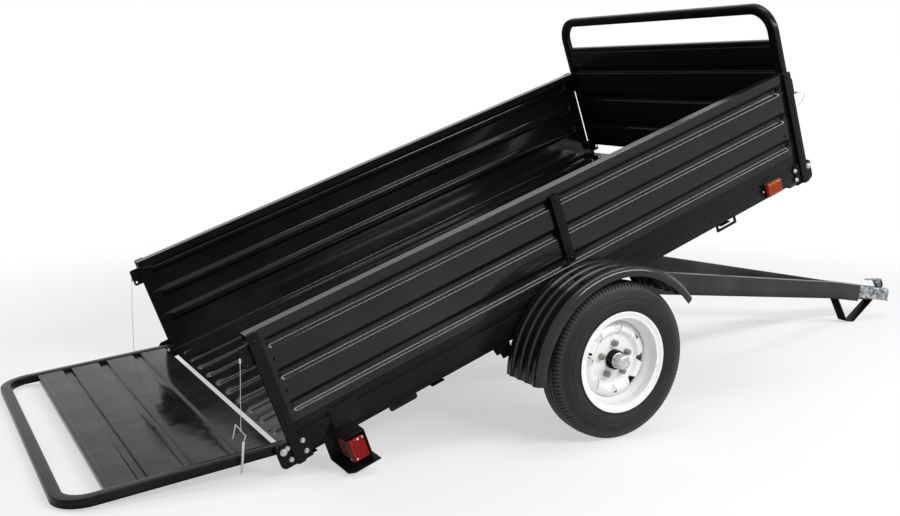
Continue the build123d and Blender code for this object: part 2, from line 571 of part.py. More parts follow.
light_bracket += prism_z([
    (shelf_front, plate_y[0]), (shelf_front, plate_y[1]), (plate_rear + LIGHT_SHELF_CORNER, plate_y[1]),
    (plate_rear, plate_y[1] - LIGHT_SHELF_CORNER), (plate_rear, plate_y[0]),
], shelf_bottom, shelf_top)
light_bracket += prism_y([(plate_front, shelf_top), (shelf_front, shelf_top), (plate_front, shelf_top + LIGHT_GUSSET)],
                         plate_y[1] - LIGHT_PLATE, plate_y[1])
light_bracket += prism_z([
    (plate_front, HALF_WIDTH), (plate_front, plate_y[1]), (LIGHT_REAR - LIGHT_HOOD_REAR, plate_y[1]),
    (plate_rear, HALF_WIDTH),
], hood_bottom, hood_top)
light_bracket += box(LIGHT_FRONT - LIGHT_WEB_REAR, LIGHT_FRONT + LIGHT_WEB_FRONT, HALF_WIDTH,
                     HALF_WIDTH + LIGHT_PLATE, hood_bottom, LIGHT_WEB_TOP)
add_pair("tail_light_bracket", light_bracket, bed)

MARKER_REAR = 955.0
MARKER_LENGTH = 78.0
MARKER_BOTTOM = 180.0
MARKER_HEIGHT = 58.0
MARKER_BASE = 4.0
MARKER_LENS = 20.0
MARKER_RIM = 3.0             # base showing round the lens
marker = (MARKER_REAR, MARKER_REAR + MARKER_LENGTH, MARKER_BOTTOM, MARKER_BOTTOM + MARKER_HEIGHT)
lens_y = HALF_WIDTH + MARKER_BASE
add_pair("side_marker_base", box(*marker[:2], HALF_WIDTH, lens_y, *marker[2:]), bed)
add_pair("side_marker", box(marker[0] + MARKER_RIM, marker[1] - MARKER_RIM, lens_y, lens_y + MARKER_LENS,
                            marker[2] + MARKER_RIM, marker[3] - MARKER_RIM), bed)

REAR_TIE_X = -763.0
REAR_TIE_LENGTH = 103.0
REAR_TIE_DROP = 18.0
REAR_TIE_PLATE = 4.0
FRONT_TIE_X = 690.0
FRONT_TIE_LENGTH = 98.0
FRONT_TIE_DROP = 26.0
FRONT_TIE_BAR = 8.0
rear_tie = rounded_plate(REAR_TIE_X, REAR_TIE_X + REAR_TIE_LENGTH, HALF_WIDTH - REAR_TIE_PLATE, HALF_WIDTH,
                         RAIL_BOTTOM - REAR_TIE_DROP, RAIL_BOTTOM, REAR_TIE_DROP / 2, ("--", "+-"))
front_tie_end = FRONT_TIE_X + FRONT_TIE_LENGTH
front_tie = box(FRONT_TIE_X, front_tie_end, HALF_WIDTH - FRONT_TIE_BAR, HALF_WIDTH,
                RAIL_BOTTOM - FRONT_TIE_DROP, RAIL_BOTTOM)
front_tie -= box(FRONT_TIE_X + FRONT_TIE_BAR, front_tie_end - FRONT_TIE_BAR, HALF_WIDTH - FRONT_TIE_BAR, HALF_WIDTH,
                 RAIL_BOTTOM - FRONT_TIE_DROP + FRONT_TIE_BAR, RAIL_BOTTOM)
add_pair("tie_loops", Compound([rear_tie, front_tie]), bed)

# ---------------------------------------------------------------- latch pins and their wire lanyards
LANYARD = 2.0                # wire diameter
BAIL_RADIUS = 1.8
CRIMP_RADIUS = 2.6           # joins a rear pin's bail to its wire
CRIMP_LENGTH = 8.0
PIN_HEAD = 7.0               # radius of the front pins' heads
PIN_HEAD_LENGTH = 4.0
PIN_KNOB_LENGTH = 8.0
WIRE_LEAD = 10.0             # wire's straight start at the front pin
pin_radius = LATCH_PIN / 2
ground_row = Pos(AXLE_X, 0, 0)


def wire_tube(points):
    """Wire along straight runs joined by the largest tangent arcs that the runs allow."""
    radii = []
    for a, b, c in zip(points, points[1:], points[2:]):
        before = Vector(*b) - Vector(*a)
        after = Vector(*c) - Vector(*b)
        turn = radians(before.get_angle(after))
        radii.append(0.45 * min(before.length, after.length) / tan(turn / 2))
    path = FilletPolyline(*points, radius=radii)
    start = Plane(origin=points[0], z_dir=Vector(*points[1]) - Vector(*points[0]))
    tube = sweep(start * Circle(LANYARD / 2), path=path)
    print("wire length", round(path.length, 1), "radii", [round(r, 1) for r in radii],
          "volume ratio", round(tube.volume / (path.length * pi * LANYARD ** 2 / 4), 4))
    return tube


def bent_rod(points, radius):
    """Rods along the points, with a ball at each bend."""
    solid = rod(points[0], points[1], radius)
    for a, b in zip(points[1:], points[2:]):
        solid += Pos(*a) * Sphere(radius)
        solid += rod(a, b, radius)
    return solid


# The right rear pin hangs beside the open gate and the left one lies on the ground on a longer wire.
# Wire points run forwards, outwards and down from the ferrule's end. The pin hangs a little below and beside
# the wire's end, and is turned by an angle that lays it over.
REAR_LANYARDS = (
    ("left", ((0, 0, 0), (-0.5, 0, 60), (-4, 0.5, 130), (-2, 1, 240), (0, 1, 346)), 8.0, 3.0, -84.0),
    ("right", ((0, 0, 0), (0, 0, 54), (-2, 0.8, 106), (-1, 1.4, 152), (-2.5, 1, 198)), 0.0, 0.0, 0.0),
)
# the pin's bail and the ends of its shaft: forwards and up from where it hangs
BAIL = ((8.3, -41.3), (14.7, -23.9), (-15.3, 15.2), (-24.6, -26.7))
SHAFT_TIP = (0.4, -138.0)
anchor_x, anchor_z = bed_to_ground(rear_anchor[0], rear_anchor[2])
for side, offsets, below, beside, turn_degrees in REAR_LANYARDS:
    rear_wire = [(anchor_x + dx, rear_anchor[1] + dy, anchor_z - FERRULE_LENGTH / 2 - down)
                 for dx, dy, down in offsets]
    wire_end = Vector(*rear_wire[-1])
    lean = radians(turn_degrees)

    def on_pin(forwards, up):
        return (wire_end.X + forwards * cos(lean) - up * sin(lean), wire_end.Y + beside,
                wire_end.Z - below + forwards * sin(lean) + up * cos(lean))

    rear_pin = rod(tuple(wire_end), tuple(wire_end - Vector(0, 0, CRIMP_LENGTH)), CRIMP_RADIUS)
    rear_pin += bent_rod([on_pin(*point) for point in BAIL], BAIL_RADIUS)
    rear_pin += rod(on_pin(*BAIL[0]), on_pin(*SHAFT_TIP), pin_radius)
    wire = wire_tube(rear_wire)
    if side == "right":
        wire, rear_pin = other_side(wire), other_side(rear_pin)
    add("lanyard_rear_" + side, wire, ground_row)
    add("latch_pin_rear_" + side, rear_pin, ground_row)

# front pins sit in the latch plates, on looped lanyards; points are in the bed frame
pin_end = post_face + PIN_HEAD_LENGTH + PIN_KNOB_LENGTH
front_pin = rod_y(front_hinge_x, latch_z, pin_radius, GATE_WIDTH / 2 + GATE_CLEARANCE, pin_end)
front_pin += rod_y(front_hinge_x, latch_z, PIN_HEAD, post_face, post_face + PIN_HEAD_LENGTH)
add_pair("latch_pin_front", front_pin, bed)

FRONT_WIRE = ((0, 0, 0), (8, 0, 0), (15, 2, 4), (21, 8, 12), (23, 17, 23), (21, 28, 34), (15, 36, 46), (6, 37, 55))
front_wire = [(front_ferrule_end[0] + dx, front_ferrule_end[1] + dy, front_ferrule_end[2] + up)
              for dx, dy, up in FRONT_WIRE]
front_wire += [(front_hinge_x, pin_end + WIRE_LEAD, latch_z), (front_hinge_x, pin_end, latch_z)]
add_pair("lanyard_front", wire_tube(front_wire), bed)

# ---------------------------------------------------------------- drawbar
leg_slope = (EYE_Y - DRAWBAR_TUBE / 2) / (DRAWBAR_KNEE_X - DRAWBAR_TAIL)     # sideways run for each unit forwards
slope_angle = atan2(leg_slope, 1.0)


def leg_y(x, offset):
    """Distance from the centre line, at x, of the leg's face that runs at offset along the tongue."""
    run = (DRAWBAR_KNEE_X - x) * leg_slope
    return DRAWBAR_TUBE + run - (DRAWBAR_TUBE - offset) / cos(slope_angle)


def bend_x(offset):
    """Where that face turns parallel to the centre line."""
    return DRAWBAR_KNEE_X - (DRAWBAR_TUBE - offset) * (1 / cos(slope_angle) - 1) / leg_slope


def leg_outline(inset, rear_x, front_x):
    """Plan of the left leg, drawn in by inset on its long faces."""
    outer = DRAWBAR_TUBE - inset
    inner = inset
    return [
        (rear_x, leg_y(rear_x, outer)), (bend_x(outer), outer), (front_x, outer),
        (front_x, inner), (bend_x(inner), inner), (rear_x, leg_y(rear_x, inner)),
    ]


half_height = DRAWBAR_HEIGHT / 2
leg = prism_z(leg_outline(0, DRAWBAR_TAIL, DRAWBAR_NOSE), -half_height, half_height)
leg -= prism_z(leg_outline(DRAWBAR_WALL, DRAWBAR_TAIL - 1, DRAWBAR_NOSE + 1),
               -half_height + DRAWBAR_WALL, half_height - DRAWBAR_WALL)
add_pair("drawbar_leg", leg, drawbar)

EYE_CAP = 8.0
cap_y = (leg_y(DRAWBAR_TAIL, 0), leg_y(DRAWBAR_TAIL, DRAWBAR_TUBE))
eye_y = (EYE_Y - EYE_PLATE / 2, EYE_Y + EYE_PLATE / 2)
eye = box(DRAWBAR_TAIL - EYE_CAP, DRAWBAR_TAIL, *cap_y, -half_height, half_height)
eye += box(0, DRAWBAR_TAIL - EYE_CAP, *eye_y, -EYE_RADIUS, EYE_RADIUS)
eye += rod_y(0, 0, EYE_RADIUS, *eye_y)
eye -= rod_y(0, 0, PIVOT_BOLT / 2 + PIN_CLEARANCE, *eye_y)
add_pair("drawbar_eye", eye, drawbar)

# foot: one flat bar bent to a V under the tongue, with the plate that carries the coupler
TONGUE_PLATE = 3.0           # closes the tubes' front ends
FOOT_REAR_RUN = 100.0        # along the tongue, from the sole to the rear arm's top
FOOT_FRONT_RUN = 118.0
FOOT_BEND = 14.0             # outer radius of the bar's bends
foot_front = FOOT_SOLE_END + FOOT_FRONT_RUN
coupler_seat = COUPLER_BOTTOM - FOOT_BAR


def bent_bar(line, thickness, radius, y0, y1):
    """Flat bar whose outer face follows the line, with round bends."""
    bar = prism_y(sheet_outline(line, thickness), y0, y1)
    across = [e for e in bar.edges() if abs(e.tangent_at(0).Y) > 0.99]
    for x, z in line[1:-1]:
        outer = [e for e in across if hypot(e.center().X - x, e.center().Z - z) < 0.1]
        bar = bar.fillet(radius, outer)
        across = [e for e in bar.edges() if abs(e.tangent_at(0).Y) > 0.99]
    return bar


foot_line = [
    (FOOT_SOLE_START - FOOT_REAR_RUN, -half_height), (FOOT_SOLE_START, -FOOT_DROP),
    (FOOT_SOLE_END, -FOOT_DROP), (foot_front, coupler_seat),
]
foot = bent_bar(foot_line, FOOT_BAR, FOOT_BEND, -FOOT_WIDTH / 2, FOOT_WIDTH / 2)
foot -= box(FOOT_SOLE_START - FOOT_REAR_RUN - FOOT_WIDTH, DRAWBAR_NOSE, -FOOT_WIDTH, FOOT_WIDTH,
            -half_height, half_height)
foot += box(DRAWBAR_NOSE, foot_front, -FOOT_WIDTH / 2, FOOT_WIDTH / 2, coupler_seat, COUPLER_BOTTOM)
foot += box(DRAWBAR_NOSE, DRAWBAR_NOSE + TONGUE_PLATE, -DRAWBAR_TUBE, DRAWBAR_TUBE, -half_height, half_height)
add("tongue_foot", foot, drawbar)

# coupler: pressed channel with a domed ball socket and a flared lip
BALL_RADIUS = 25.4
BALL_CLEARANCE = 0.3
SOCKET_DEPTH = 28.0          # straight wall under the socket's dome
SOCKET_BACK = 42.0           # solid nose behind the ball's centre
COUPLER_WIDTH = 62.0
COUPLER_WALL = 4.0
socket_radius = BALL_RADIUS + BALL_CLEARANCE
coupler_rear = DRAWBAR_NOSE + TONGUE_PLATE
coupler_half = COUPLER_WIDTH / 2
coupler = box(coupler_rear, SOCKET_X, -coupler_half, coupler_half, COUPLER_BOTTOM, COUPLER_TOP)
coupler += Solid.make_cylinder(DOME_RADIUS, COUPLER_TOP - COUPLER_BOTTOM, Plane((SOCKET_X, 0, COUPLER_BOTTOM)))
top_edges = [e for e in coupler.edges()
             if abs(e.center().Z - COUPLER_TOP) < 0.01 and e.center().X > coupler_rear + 1]
coupler = coupler.fillet(COUPLER_EDGE, top_edges)
coupler += box(coupler_rear, SOCKET_X, -coupler_half - COUPLER_LIP, coupler_half + COUPLER_LIP,
               COUPLER_BOTTOM, COUPLER_BOTTOM + COUPLER_WALL)
coupler += Solid.make_cylinder(DOME_RADIUS + COUPLER_LIP, COUPLER_WALL, Plane((SOCKET_X, 0, COUPLER_BOTTOM)))
coupler -= box(coupler_rear, SOCKET_X - SOCKET_BACK, -coupler_half + COUPLER_WALL, coupler_half - COUPLER_WALL,
               COUPLER_BOTTOM, COUPLER_TOP - COUPLER_WALL)
coupler -= Solid.make_cylinder(socket_radius, SOCKET_DEPTH, Plane((SOCKET_X, 0, COUPLER_BOTTOM)))
coupler -= Pos(SOCKET_X, 0, COUPLER_BOTTOM + SOCKET_DEPTH) * Sphere(socket_radius)
add("coupler", coupler, drawbar)

# lever: bent sheet over a cam block, its tail towards the trailer; behind the ball and above the coupler
LEVER_TAIL = 146.0           # tail's tip behind the ball's centre
LEVER_CREST = 43.0
LEVER_NOSE = 20.0
LEVER_FRONT = 26.0           # lever's foot behind the ball's centre
LEVER_TAIL_RISE = 33.0
LEVER_CREST_RISE = 46.0
LEVER_NOSE_RISE = 16.0
LEVER_HALF = 15.0
LEVER_SHEET = 4.0
CAM_LENGTH = 42.0
CAM_RISE = 30.0
lever_line = [
    (SOCKET_X - LEVER_FRONT, COUPLER_TOP), (SOCKET_X - LEVER_NOSE, COUPLER_TOP + LEVER_NOSE_RISE),
    (SOCKET_X - LEVER_CREST, COUPLER_TOP + LEVER_CREST_RISE),
    (SOCKET_X - LEVER_TAIL, COUPLER_TOP + LEVER_TAIL_RISE),
]
lever = prism_y(sheet_outline(lever_line, LEVER_SHEET), -LEVER_HALF, LEVER_HALF)
cam_front = SOCKET_X - LEVER_FRONT - LEVER_SHEET
lever += prism_y([
    (cam_front, COUPLER_TOP), (cam_front, COUPLER_TOP + LEVER_NOSE_RISE),
    (SOCKET_X - LEVER_CREST, COUPLER_TOP + LEVER_CREST_RISE - LEVER_SHEET),
    (SOCKET_X - LEVER_CREST - CAM_LENGTH, COUPLER_TOP + CAM_RISE), (cam_front - CAM_LENGTH / 2, COUPLER_TOP),
], -LEVER_HALF + LEVER_SHEET, LEVER_HALF - LEVER_SHEET)
add("coupler_lever", lever, drawbar)

# ---------------------------------------------------------------- wheels
BEAD_WIDTH = 100.0           # between the rim's bead seats
RIM_LIP = 8.0                # rim's outer radius to its bead flange
RIM_LIP_OUT = 8.0            # flange's curl past the bead
WELL_DEPTH = 16.0
WELL_OUTER = 24.0            # drop centre's shoulders, from the rim's middle
WELL_OUTER_FLOOR = 10.0
WELL_INNER_FLOOR = 22.0
WELL_INNER = 34.0
DISC_SHEET = 4.0
DISC_SEAT = 2.0              # disc's edge let into the barrel
DISC_CROWN_RADIUS = 104.0
DISC_CROWN = 14.0            # crown's outer face above the lug face
DISC_RIM_STEP = 20.0         # from the crown's edge to the barrel
DISC_FOOT = 8.0
DISC_CENTRE_RADIUS = 84.0
HUB_BORE = 34.0
WINDOW_TIP = 91.0            # spoke windows: radius of the point, and of the flat side
WINDOW_BASE = 116.0
WINDOW_HALF = 18.0
TYRE_BEAD_RISE = 22.0        # tyre's wall leaves the rim here, above the bead seat
SIDEWALL_BULGE = 30.0        # widest part above the rim's lip
SHOULDER = 14.0
TREAD_CROWN = 3.0
TREAD_EDGE = 10.0            # from the shoulder to the tread's edge
TREAD_FLAT = 26.0
half_tyre = TYRE_WIDTH / 2
half_bead = BEAD_WIDTH / 2
bead_flange = RIM_RADIUS - RIM_LIP
lower_wall = RIM_RADIUS + SIDEWALL_BULGE
upper_wall = TYRE_RADIUS - SHOULDER - (TYRE_RADIUS - SHOULDER - lower_wall) * 0.4
tyre_side = [                # radius, and distance out from the tyre's middle
    (BEAD_RADIUS, half_bead), (BEAD_RADIUS + TYRE_BEAD_RISE - RIM_SHEET, half_bead),
    (RIM_RADIUS + RIM_SHEET, half_bead + RIM_SHEET), (lower_wall, half_tyre), (upper_wall, half_tyre - RIM_SHEET),
    (TYRE_RADIUS - SHOULDER, half_tyre - SHOULDER), (TYRE_RADIUS - TREAD_CROWN, half_tyre - SHOULDER - TREAD_EDGE),
    (TYRE_RADIUS, TREAD_FLAT),
]
tyre = turned([(r, tyre_mid + y) for r, y in tyre_side] + [(r, tyre_mid - y) for r, y in reversed(tyre_side)])

rim_edge = half_bead + RIM_LIP_OUT
well_radius = BEAD_RADIUS - WELL_DEPTH
rim_line = [
    (RIM_RADIUS, tyre_mid + rim_edge), (bead_flange, tyre_mid + half_bead), (BEAD_RADIUS, tyre_mid + half_bead),
    (BEAD_RADIUS, tyre_mid + WELL_OUTER), (well_radius, tyre_mid + WELL_OUTER_FLOOR),
    (well_radius, tyre_mid - WELL_INNER_FLOOR), (BEAD_RADIUS, tyre_mid - WELL_INNER),
    (BEAD_RADIUS, tyre_mid - half_bead), (bead_flange, tyre_mid - half_bead), (RIM_RADIUS, tyre_mid - rim_edge),
]
barrel = turned(sheet_outline(rim_line[::-1], RIM_SHEET))
disc_edge = well_radius - RIM_SHEET + DISC_SEAT
disc_line = [                # outer face, from the barrel in to the hub bore
    (disc_edge, hub_face - DISC_FOOT), (disc_edge - DISC_RIM_STEP, hub_face + DISC_CROWN - DISC_SHEET / 2),
    (DISC_CROWN_RADIUS, hub_face + DISC_CROWN + DISC_SHEET), (DISC_CENTRE_RADIUS, hub_face + DISC_SHEET),
    (HUB_BORE, hub_face + DISC_SHEET),
]
disc = turned(sheet_outline(disc_line[::-1], -DISC_SHEET))
for i in range(WINDOW_COUNT):
    window = prism_y([(WINDOW_TIP, 0), (WINDOW_BASE, -WINDOW_HALF), (WINDOW_BASE, WINDOW_HALF)],
                     tyre_mid - half_bead, tyre_mid + half_bead)
    disc -= Rot(0, (i + 0.5) * 360 / WINDOW_COUNT, 0) * window
for i in range(LUG_COUNT):
    hole = rod_y(LUG_CIRCLE / 2, 0, LUG_HOLE / 2, tyre_mid - half_bead, tyre_mid + half_bead)
    disc -= Rot(0, i * 360 / LUG_COUNT, 0) * hole
rim = barrel + disc

HUB_BARREL_RADIUS = 36.0
HUB_FLANGE_RADIUS = 70.0
HUB_PILOT = 33.0
HUB_NOSE = 26.0              # pilot's length past the rim's lug face
CAP_RADIUS = 25.0
CAP_TOP = 20.0
CAP_CHAMFER = 5.0
CAP_WALL = 6.0
bearing = SPINDLE_DIAMETER / 2 + PIN_CLEARANCE
hub = turned([
    (bearing, hub_inner), (HUB_BARREL_RADIUS, hub_inner), (HUB_BARREL_RADIUS, hub_face - HUB_FLANGE),
    (HUB_FLANGE_RADIUS, hub_face - HUB_FLANGE), (HUB_FLANGE_RADIUS, hub_face), (HUB_PILOT, hub_face),
    (HUB_PILOT, hub_face + HUB_NOSE), (CAP_RADIUS, hub_face + HUB_NOSE), (CAP_RADIUS, HUB_CAP_END - CAP_CHAMFER),
    (CAP_TOP, HUB_CAP_END), (0, HUB_CAP_END), (0, HUB_CAP_END - CAP_WALL), (bearing, HUB_CAP_END - CAP_WALL),
])
for name, shape in (("tyre", tyre), ("rim", rim), ("hub", hub)):
    add_pair(name, shape, bed)

# ---------------------------------------------------------------- gates
PANEL_INSET = 3.0            # sheet's inner face below the tube's inner face
PANEL_FLANGE = 20.0
GATE_RIB_WIDTH = 34.0
GATE_RIB_CREST = 22.0
GATE_RIB_HEIGHT = 7.0        # pressed outwards, away from the load


def rounded_outline(half_width, bottom, top, radius):
    """Face in the YZ plane: a rectangle whose two top corners are rounded."""
    def corner(side, angle):
        a = radians(angle)
        return (0, side * (half_width - radius + radius * cos(a)), top - radius + radius * sin(a))
    edges = [
        Edge.make_line((0, -half_width, bottom), (0, half_width, bottom)),
        Edge.make_line((0, half_width, bottom), corner(1, 0)),
        Edge.make_three_point_arc(corner(1, 0), corner(1, 45), corner(1, 90)),
        Edge.make_line(corner(1, 90), corner(-1, 90)),
        Edge.make_three_point_arc(corner(-1, 90), corner(-1, 45), corner(-1, 0)),
        Edge.make_line(corner(-1, 0), (0, -half_width, bottom)),
    ]
    return Face(Wire(edges))


def hoop(inset, bottom):
    """The gate's bent tube as a solid, drawn in by inset on every side."""
    half = GATE_WIDTH / 2
    depth = GATE_DEPTH - 2 * inset
    outer = rounded_outline(half - inset, bottom, GATE_LENGTH - inset, GATE_CORNER - inset)
    inner = rounded_outline(half - GATE_TUBE + inset, bottom - 1, GATE_LENGTH - GATE_TUBE + inset,
                            GATE_CORNER - GATE_TUBE + inset)
    solid = Solid.extrude(outer, Vector(depth, 0, 0)) - Solid.extrude(inner, Vector(depth, 0, 0))
    return Pos(-depth / 2, 0, 0) * solid


gate_frame = hoop(0, -GATE_TAIL) - hoop(TUBE_WALL, -GATE_TAIL - TUBE_WALL)
gate_frame -= rod_y(0, 0, HINGE_BOLT / 2 + PIN_CLEARANCE, -GATE_WIDTH, GATE_WIDTH)
panel_face = GATE_DEPTH / 2 - PANEL_INSET
panel_line = [(panel_face - PANEL_FLANGE, GATE_PANEL_START), (panel_face, GATE_PANEL_START)]
for z in GATE_RIBS:
    panel_line += [
        (panel_face, z - GATE_RIB_WIDTH / 2), (panel_face - GATE_RIB_HEIGHT, z - GATE_RIB_CREST / 2),
        (panel_face - GATE_RIB_HEIGHT, z + GATE_RIB_CREST / 2), (panel_face, z + GATE_RIB_WIDTH / 2),
    ]
panel_line += [(panel_face, GATE_PANEL_END), (panel_face - PANEL_FLANGE, GATE_PANEL_END)]
panel_half = GATE_WIDTH / 2 - GATE_TUBE
gate_panel = prism_y(sheet_outline(panel_line, GATE_SHEET), -panel_half, panel_half)
for name, place in (("rear", rear_gate), ("front", front_gate)):
    add(name + "_gate_frame", gate_frame, place)
    add(name + "_gate_panel", gate_panel, place)

# ---------------------------------------------------------------- write one STEP per node
os.makedirs("parts", exist_ok=True)
for name, shape in nodes.items():
    shape.label = name
    export_step(shape, f"parts/{name}.step")

whole = Compound(list(nodes.values())).bounding_box()
print("nodes", len(nodes), "size", whole.size, "min", whole.min, "max", whole.max)
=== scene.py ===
# %% [markdown]
# # A utility trailer with a tilting bed
# The real trailer is a box of folded black sheet steel on one axle. Its bed tips on two pins until the rear
# gate lies on the ground as a ramp, and an A-shaped drawbar carries the ball coupler.
# The pieces that carry load come ready from the engineering model, in metres, at their true places. This
# lesson rounds their edges, adds tread, bolts, lenses and wires, and gives each surface its finish.

# %% Load the trailer and measure it
import bpy
import json
from math import asin, atan2, cos, degrees, hypot, pi, radians, sin, tan
from mathutils import Matrix, Vector


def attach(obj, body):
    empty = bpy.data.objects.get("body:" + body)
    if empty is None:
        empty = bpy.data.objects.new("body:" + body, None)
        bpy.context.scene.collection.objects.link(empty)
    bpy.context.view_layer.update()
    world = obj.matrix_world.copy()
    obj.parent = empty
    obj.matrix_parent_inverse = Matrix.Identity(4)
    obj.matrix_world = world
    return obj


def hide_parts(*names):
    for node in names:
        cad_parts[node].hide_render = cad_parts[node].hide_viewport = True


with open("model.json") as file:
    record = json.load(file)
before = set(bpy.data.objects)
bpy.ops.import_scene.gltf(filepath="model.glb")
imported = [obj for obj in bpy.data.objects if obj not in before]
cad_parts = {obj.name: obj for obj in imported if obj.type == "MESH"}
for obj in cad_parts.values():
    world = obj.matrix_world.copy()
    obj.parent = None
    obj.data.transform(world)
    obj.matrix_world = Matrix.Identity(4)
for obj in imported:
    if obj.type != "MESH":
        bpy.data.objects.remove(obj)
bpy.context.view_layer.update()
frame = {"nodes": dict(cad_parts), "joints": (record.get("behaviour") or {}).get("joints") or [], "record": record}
joints = {joint["name"]: joint for joint in frame["joints"]}

# %% [markdown]
# ## Places on a leaning trailer
# Nothing on this trailer stands square: the bed leans back, the drawbar leans forwards and the gate lies
# down. Drawing each piece in a frame of its own, square and in millimetres, keeps the numbers plain. The
# frames come from the joints, so that a piece lands where its joint is.

# %% Four leaning frames
MM = 0.001


def leaning_frame(origin, forward):
    """Takes millimetres along a leaning piece to metres: x runs forward, y to the left, z square to both."""
    x = forward.normalized()
    y = Vector((0, 1, 0))
    turn = Matrix((x, y, x.cross(y))).transposed().to_4x4()
    return Matrix.Translation(origin) @ turn @ Matrix.Scale(MM, 4)


def middle_of(joint):
    """A joint's place, on the centre plane."""
    x, _, z = joints[joint]["pos_m"]
    return Vector((x, 0, z))


wheel_place = middle_of("wheel_left_spin")
rear_hinge = middle_of("rear_gate_hinge")
front_hinge = middle_of("front_gate_hinge")
bed = leaning_frame(wheel_place, front_hinge - rear_hinge)
down = Vector(frame["record"]["mounts"][0]["axis"])
drawbar = leaning_frame(middle_of("bed_tilt"), down.cross(Vector((0, 1, 0))))
rear_gate_open = radians(joints["rear_gate_hinge"]["range_deg"][1])
hinge_height = (bed.inverted() @ rear_hinge).z
rear_hinge_x = (bed.inverted() @ rear_hinge).x
front_hinge_x = (bed.inverted() @ front_hinge).x
rear_gate = (bed @ Matrix.Translation((rear_hinge_x, 0, hinge_height))
             @ Matrix.Rotation(-rear_gate_open, 4, "Y"))
front_gate = (bed @ Matrix.Translation((front_hinge_x, 0, hinge_height))
              @ Matrix.Rotation(pi, 4, "Z"))
print("bed leans", round(degrees(asin(bed[2][0] / MM)), 1), "degrees; hinges at", round(rear_hinge_x, 1),
      round(front_hinge_x, 1))


def extent(node, place):
    """Lowest and highest corner of a loaded piece, in millimetres, in a leaning frame."""
    into = place.inverted()
    points = [into @ vertex.co for vertex in frame["nodes"][node].data.vertices]
    low = Vector([min(p[i] for p in points) for i in range(3)])
    high = Vector([max(p[i] for p in points) for i in range(3)])
    return low, high


# %% [markdown]
# ## Camera
# The camera stands a little above the wheel, off the rear corner, where one side, the load space and both
# gates show at once. A longish lens keeps the rails nearly parallel. The camera and the wires come first,
# because the wires are measured against what the camera sees.

# %% Set up the camera
CAMERA_PLACE = Vector((-2.157, -3.4792, 1.1787))     # from the ground under the axle
CAMERA_LENS = 40.70
CAMERA_HEADING = radians(29.79)
CAMERA_PITCH = radians(9.58)
CAMERA_ROLL = radians(0.93)
CAMERA_REACH = 200.0                                 # metres, past the far edge of the floor

bpy.ops.object.select_all(action="DESELECT")
bpy.ops.object.camera_add(location=CAMERA_PLACE + Vector((wheel_place.x, 0, 0)))
camera = bpy.context.object
camera.data.lens = CAMERA_LENS
camera.data.clip_end = CAMERA_REACH
camera.rotation_euler = (
    Matrix.Rotation(-CAMERA_HEADING, 4, "Z") @ Matrix.Rotation(pi / 2 - CAMERA_PITCH, 4, "X")
    @ Matrix.Rotation(CAMERA_ROLL, 4, "Z")).to_euler()
bpy.context.scene.camera = camera
print("camera at", [round(c, 2) for c in camera.location])

# %% [markdown]
# ## Shader sums written as sums
# A material is a graph of nodes, and wiring maths nodes by hand is slow to read. One small class wraps a
# socket, so that `1 - dust * 0.4` adds the nodes by itself. Every other node comes from one method.

# %% A number inside a material
class Level:
    """One number or colour inside a graph. Numbers can be used in ordinary sums."""

    def __init__(self, graph, socket):
        self.graph = graph
        self.socket = socket

    def _sum(self, operation, first, second):
        return self.graph.node("Math", {"operation": operation}, {0: first, 1: second})

    def __add__(self, other):
        return self._sum("ADD", self, other)

    def __sub__(self, other):
        return self._sum("SUBTRACT", self, other)

    def __rsub__(self, other):
        return self._sum("SUBTRACT", other, self)

    def __mul__(self, other):
        return self._sum("MULTIPLY", self, other)

    __radd__ = __add__
    __rmul__ = __mul__


# %% A graph of nodes
SEEN_RAYS = ("Is Camera Ray", "Is Glossy Ray", "Is Transmission Ray")


class Graph:
    """The nodes of a material or of the sky. One method adds any node."""

    def __init__(self, tree):
        self.tree = tree

    def node(self, kind, settings=None, inputs=None, output=0):
        """Adds any node: its settings first, then the values or links of its sockets."""
        node = self.tree.nodes.new("ShaderNode" + kind)
        for key, value in (settings or {}).items():
            if key == "stops":
                while len(node.color_ramp.elements) < len(value):
                    node.color_ramp.elements.new(1.0)
                for element, (position, shade) in zip(node.color_ramp.elements, value):
                    element.position = position
                    element.color = (shade, shade, shade, 1)
            else:
                setattr(node, key, value)
        for key, value in (inputs or {}).items():
            self.link(node.inputs[key], value)
        return Level(self, node.outputs[output])

    def link(self, socket, value):
        """Wires a level to a socket, or writes a plain value on it."""
        if isinstance(value, Level):
            self.tree.links.new(value.socket, socket)
        else:
            socket.default_value = value

    def between(self, level, start, end, low=0.0, high=1.0, curve="LINEAR"):
        """Carries a number from start and end over to low and high, and holds it there."""
        return self.node("MapRange", {"interpolation_type": curve},
                         {"Value": level, "From Min": start, "From Max": end, "To Min": low, "To Max": high})

    def seen(self):
        """1 for what is looked at, straight, mirrored or through a lens, and 0 for what only gives light."""
        camera, glossy, through = (self.node("LightPath", output=ray) for ray in SEEN_RAYS)
        return camera + glossy + through


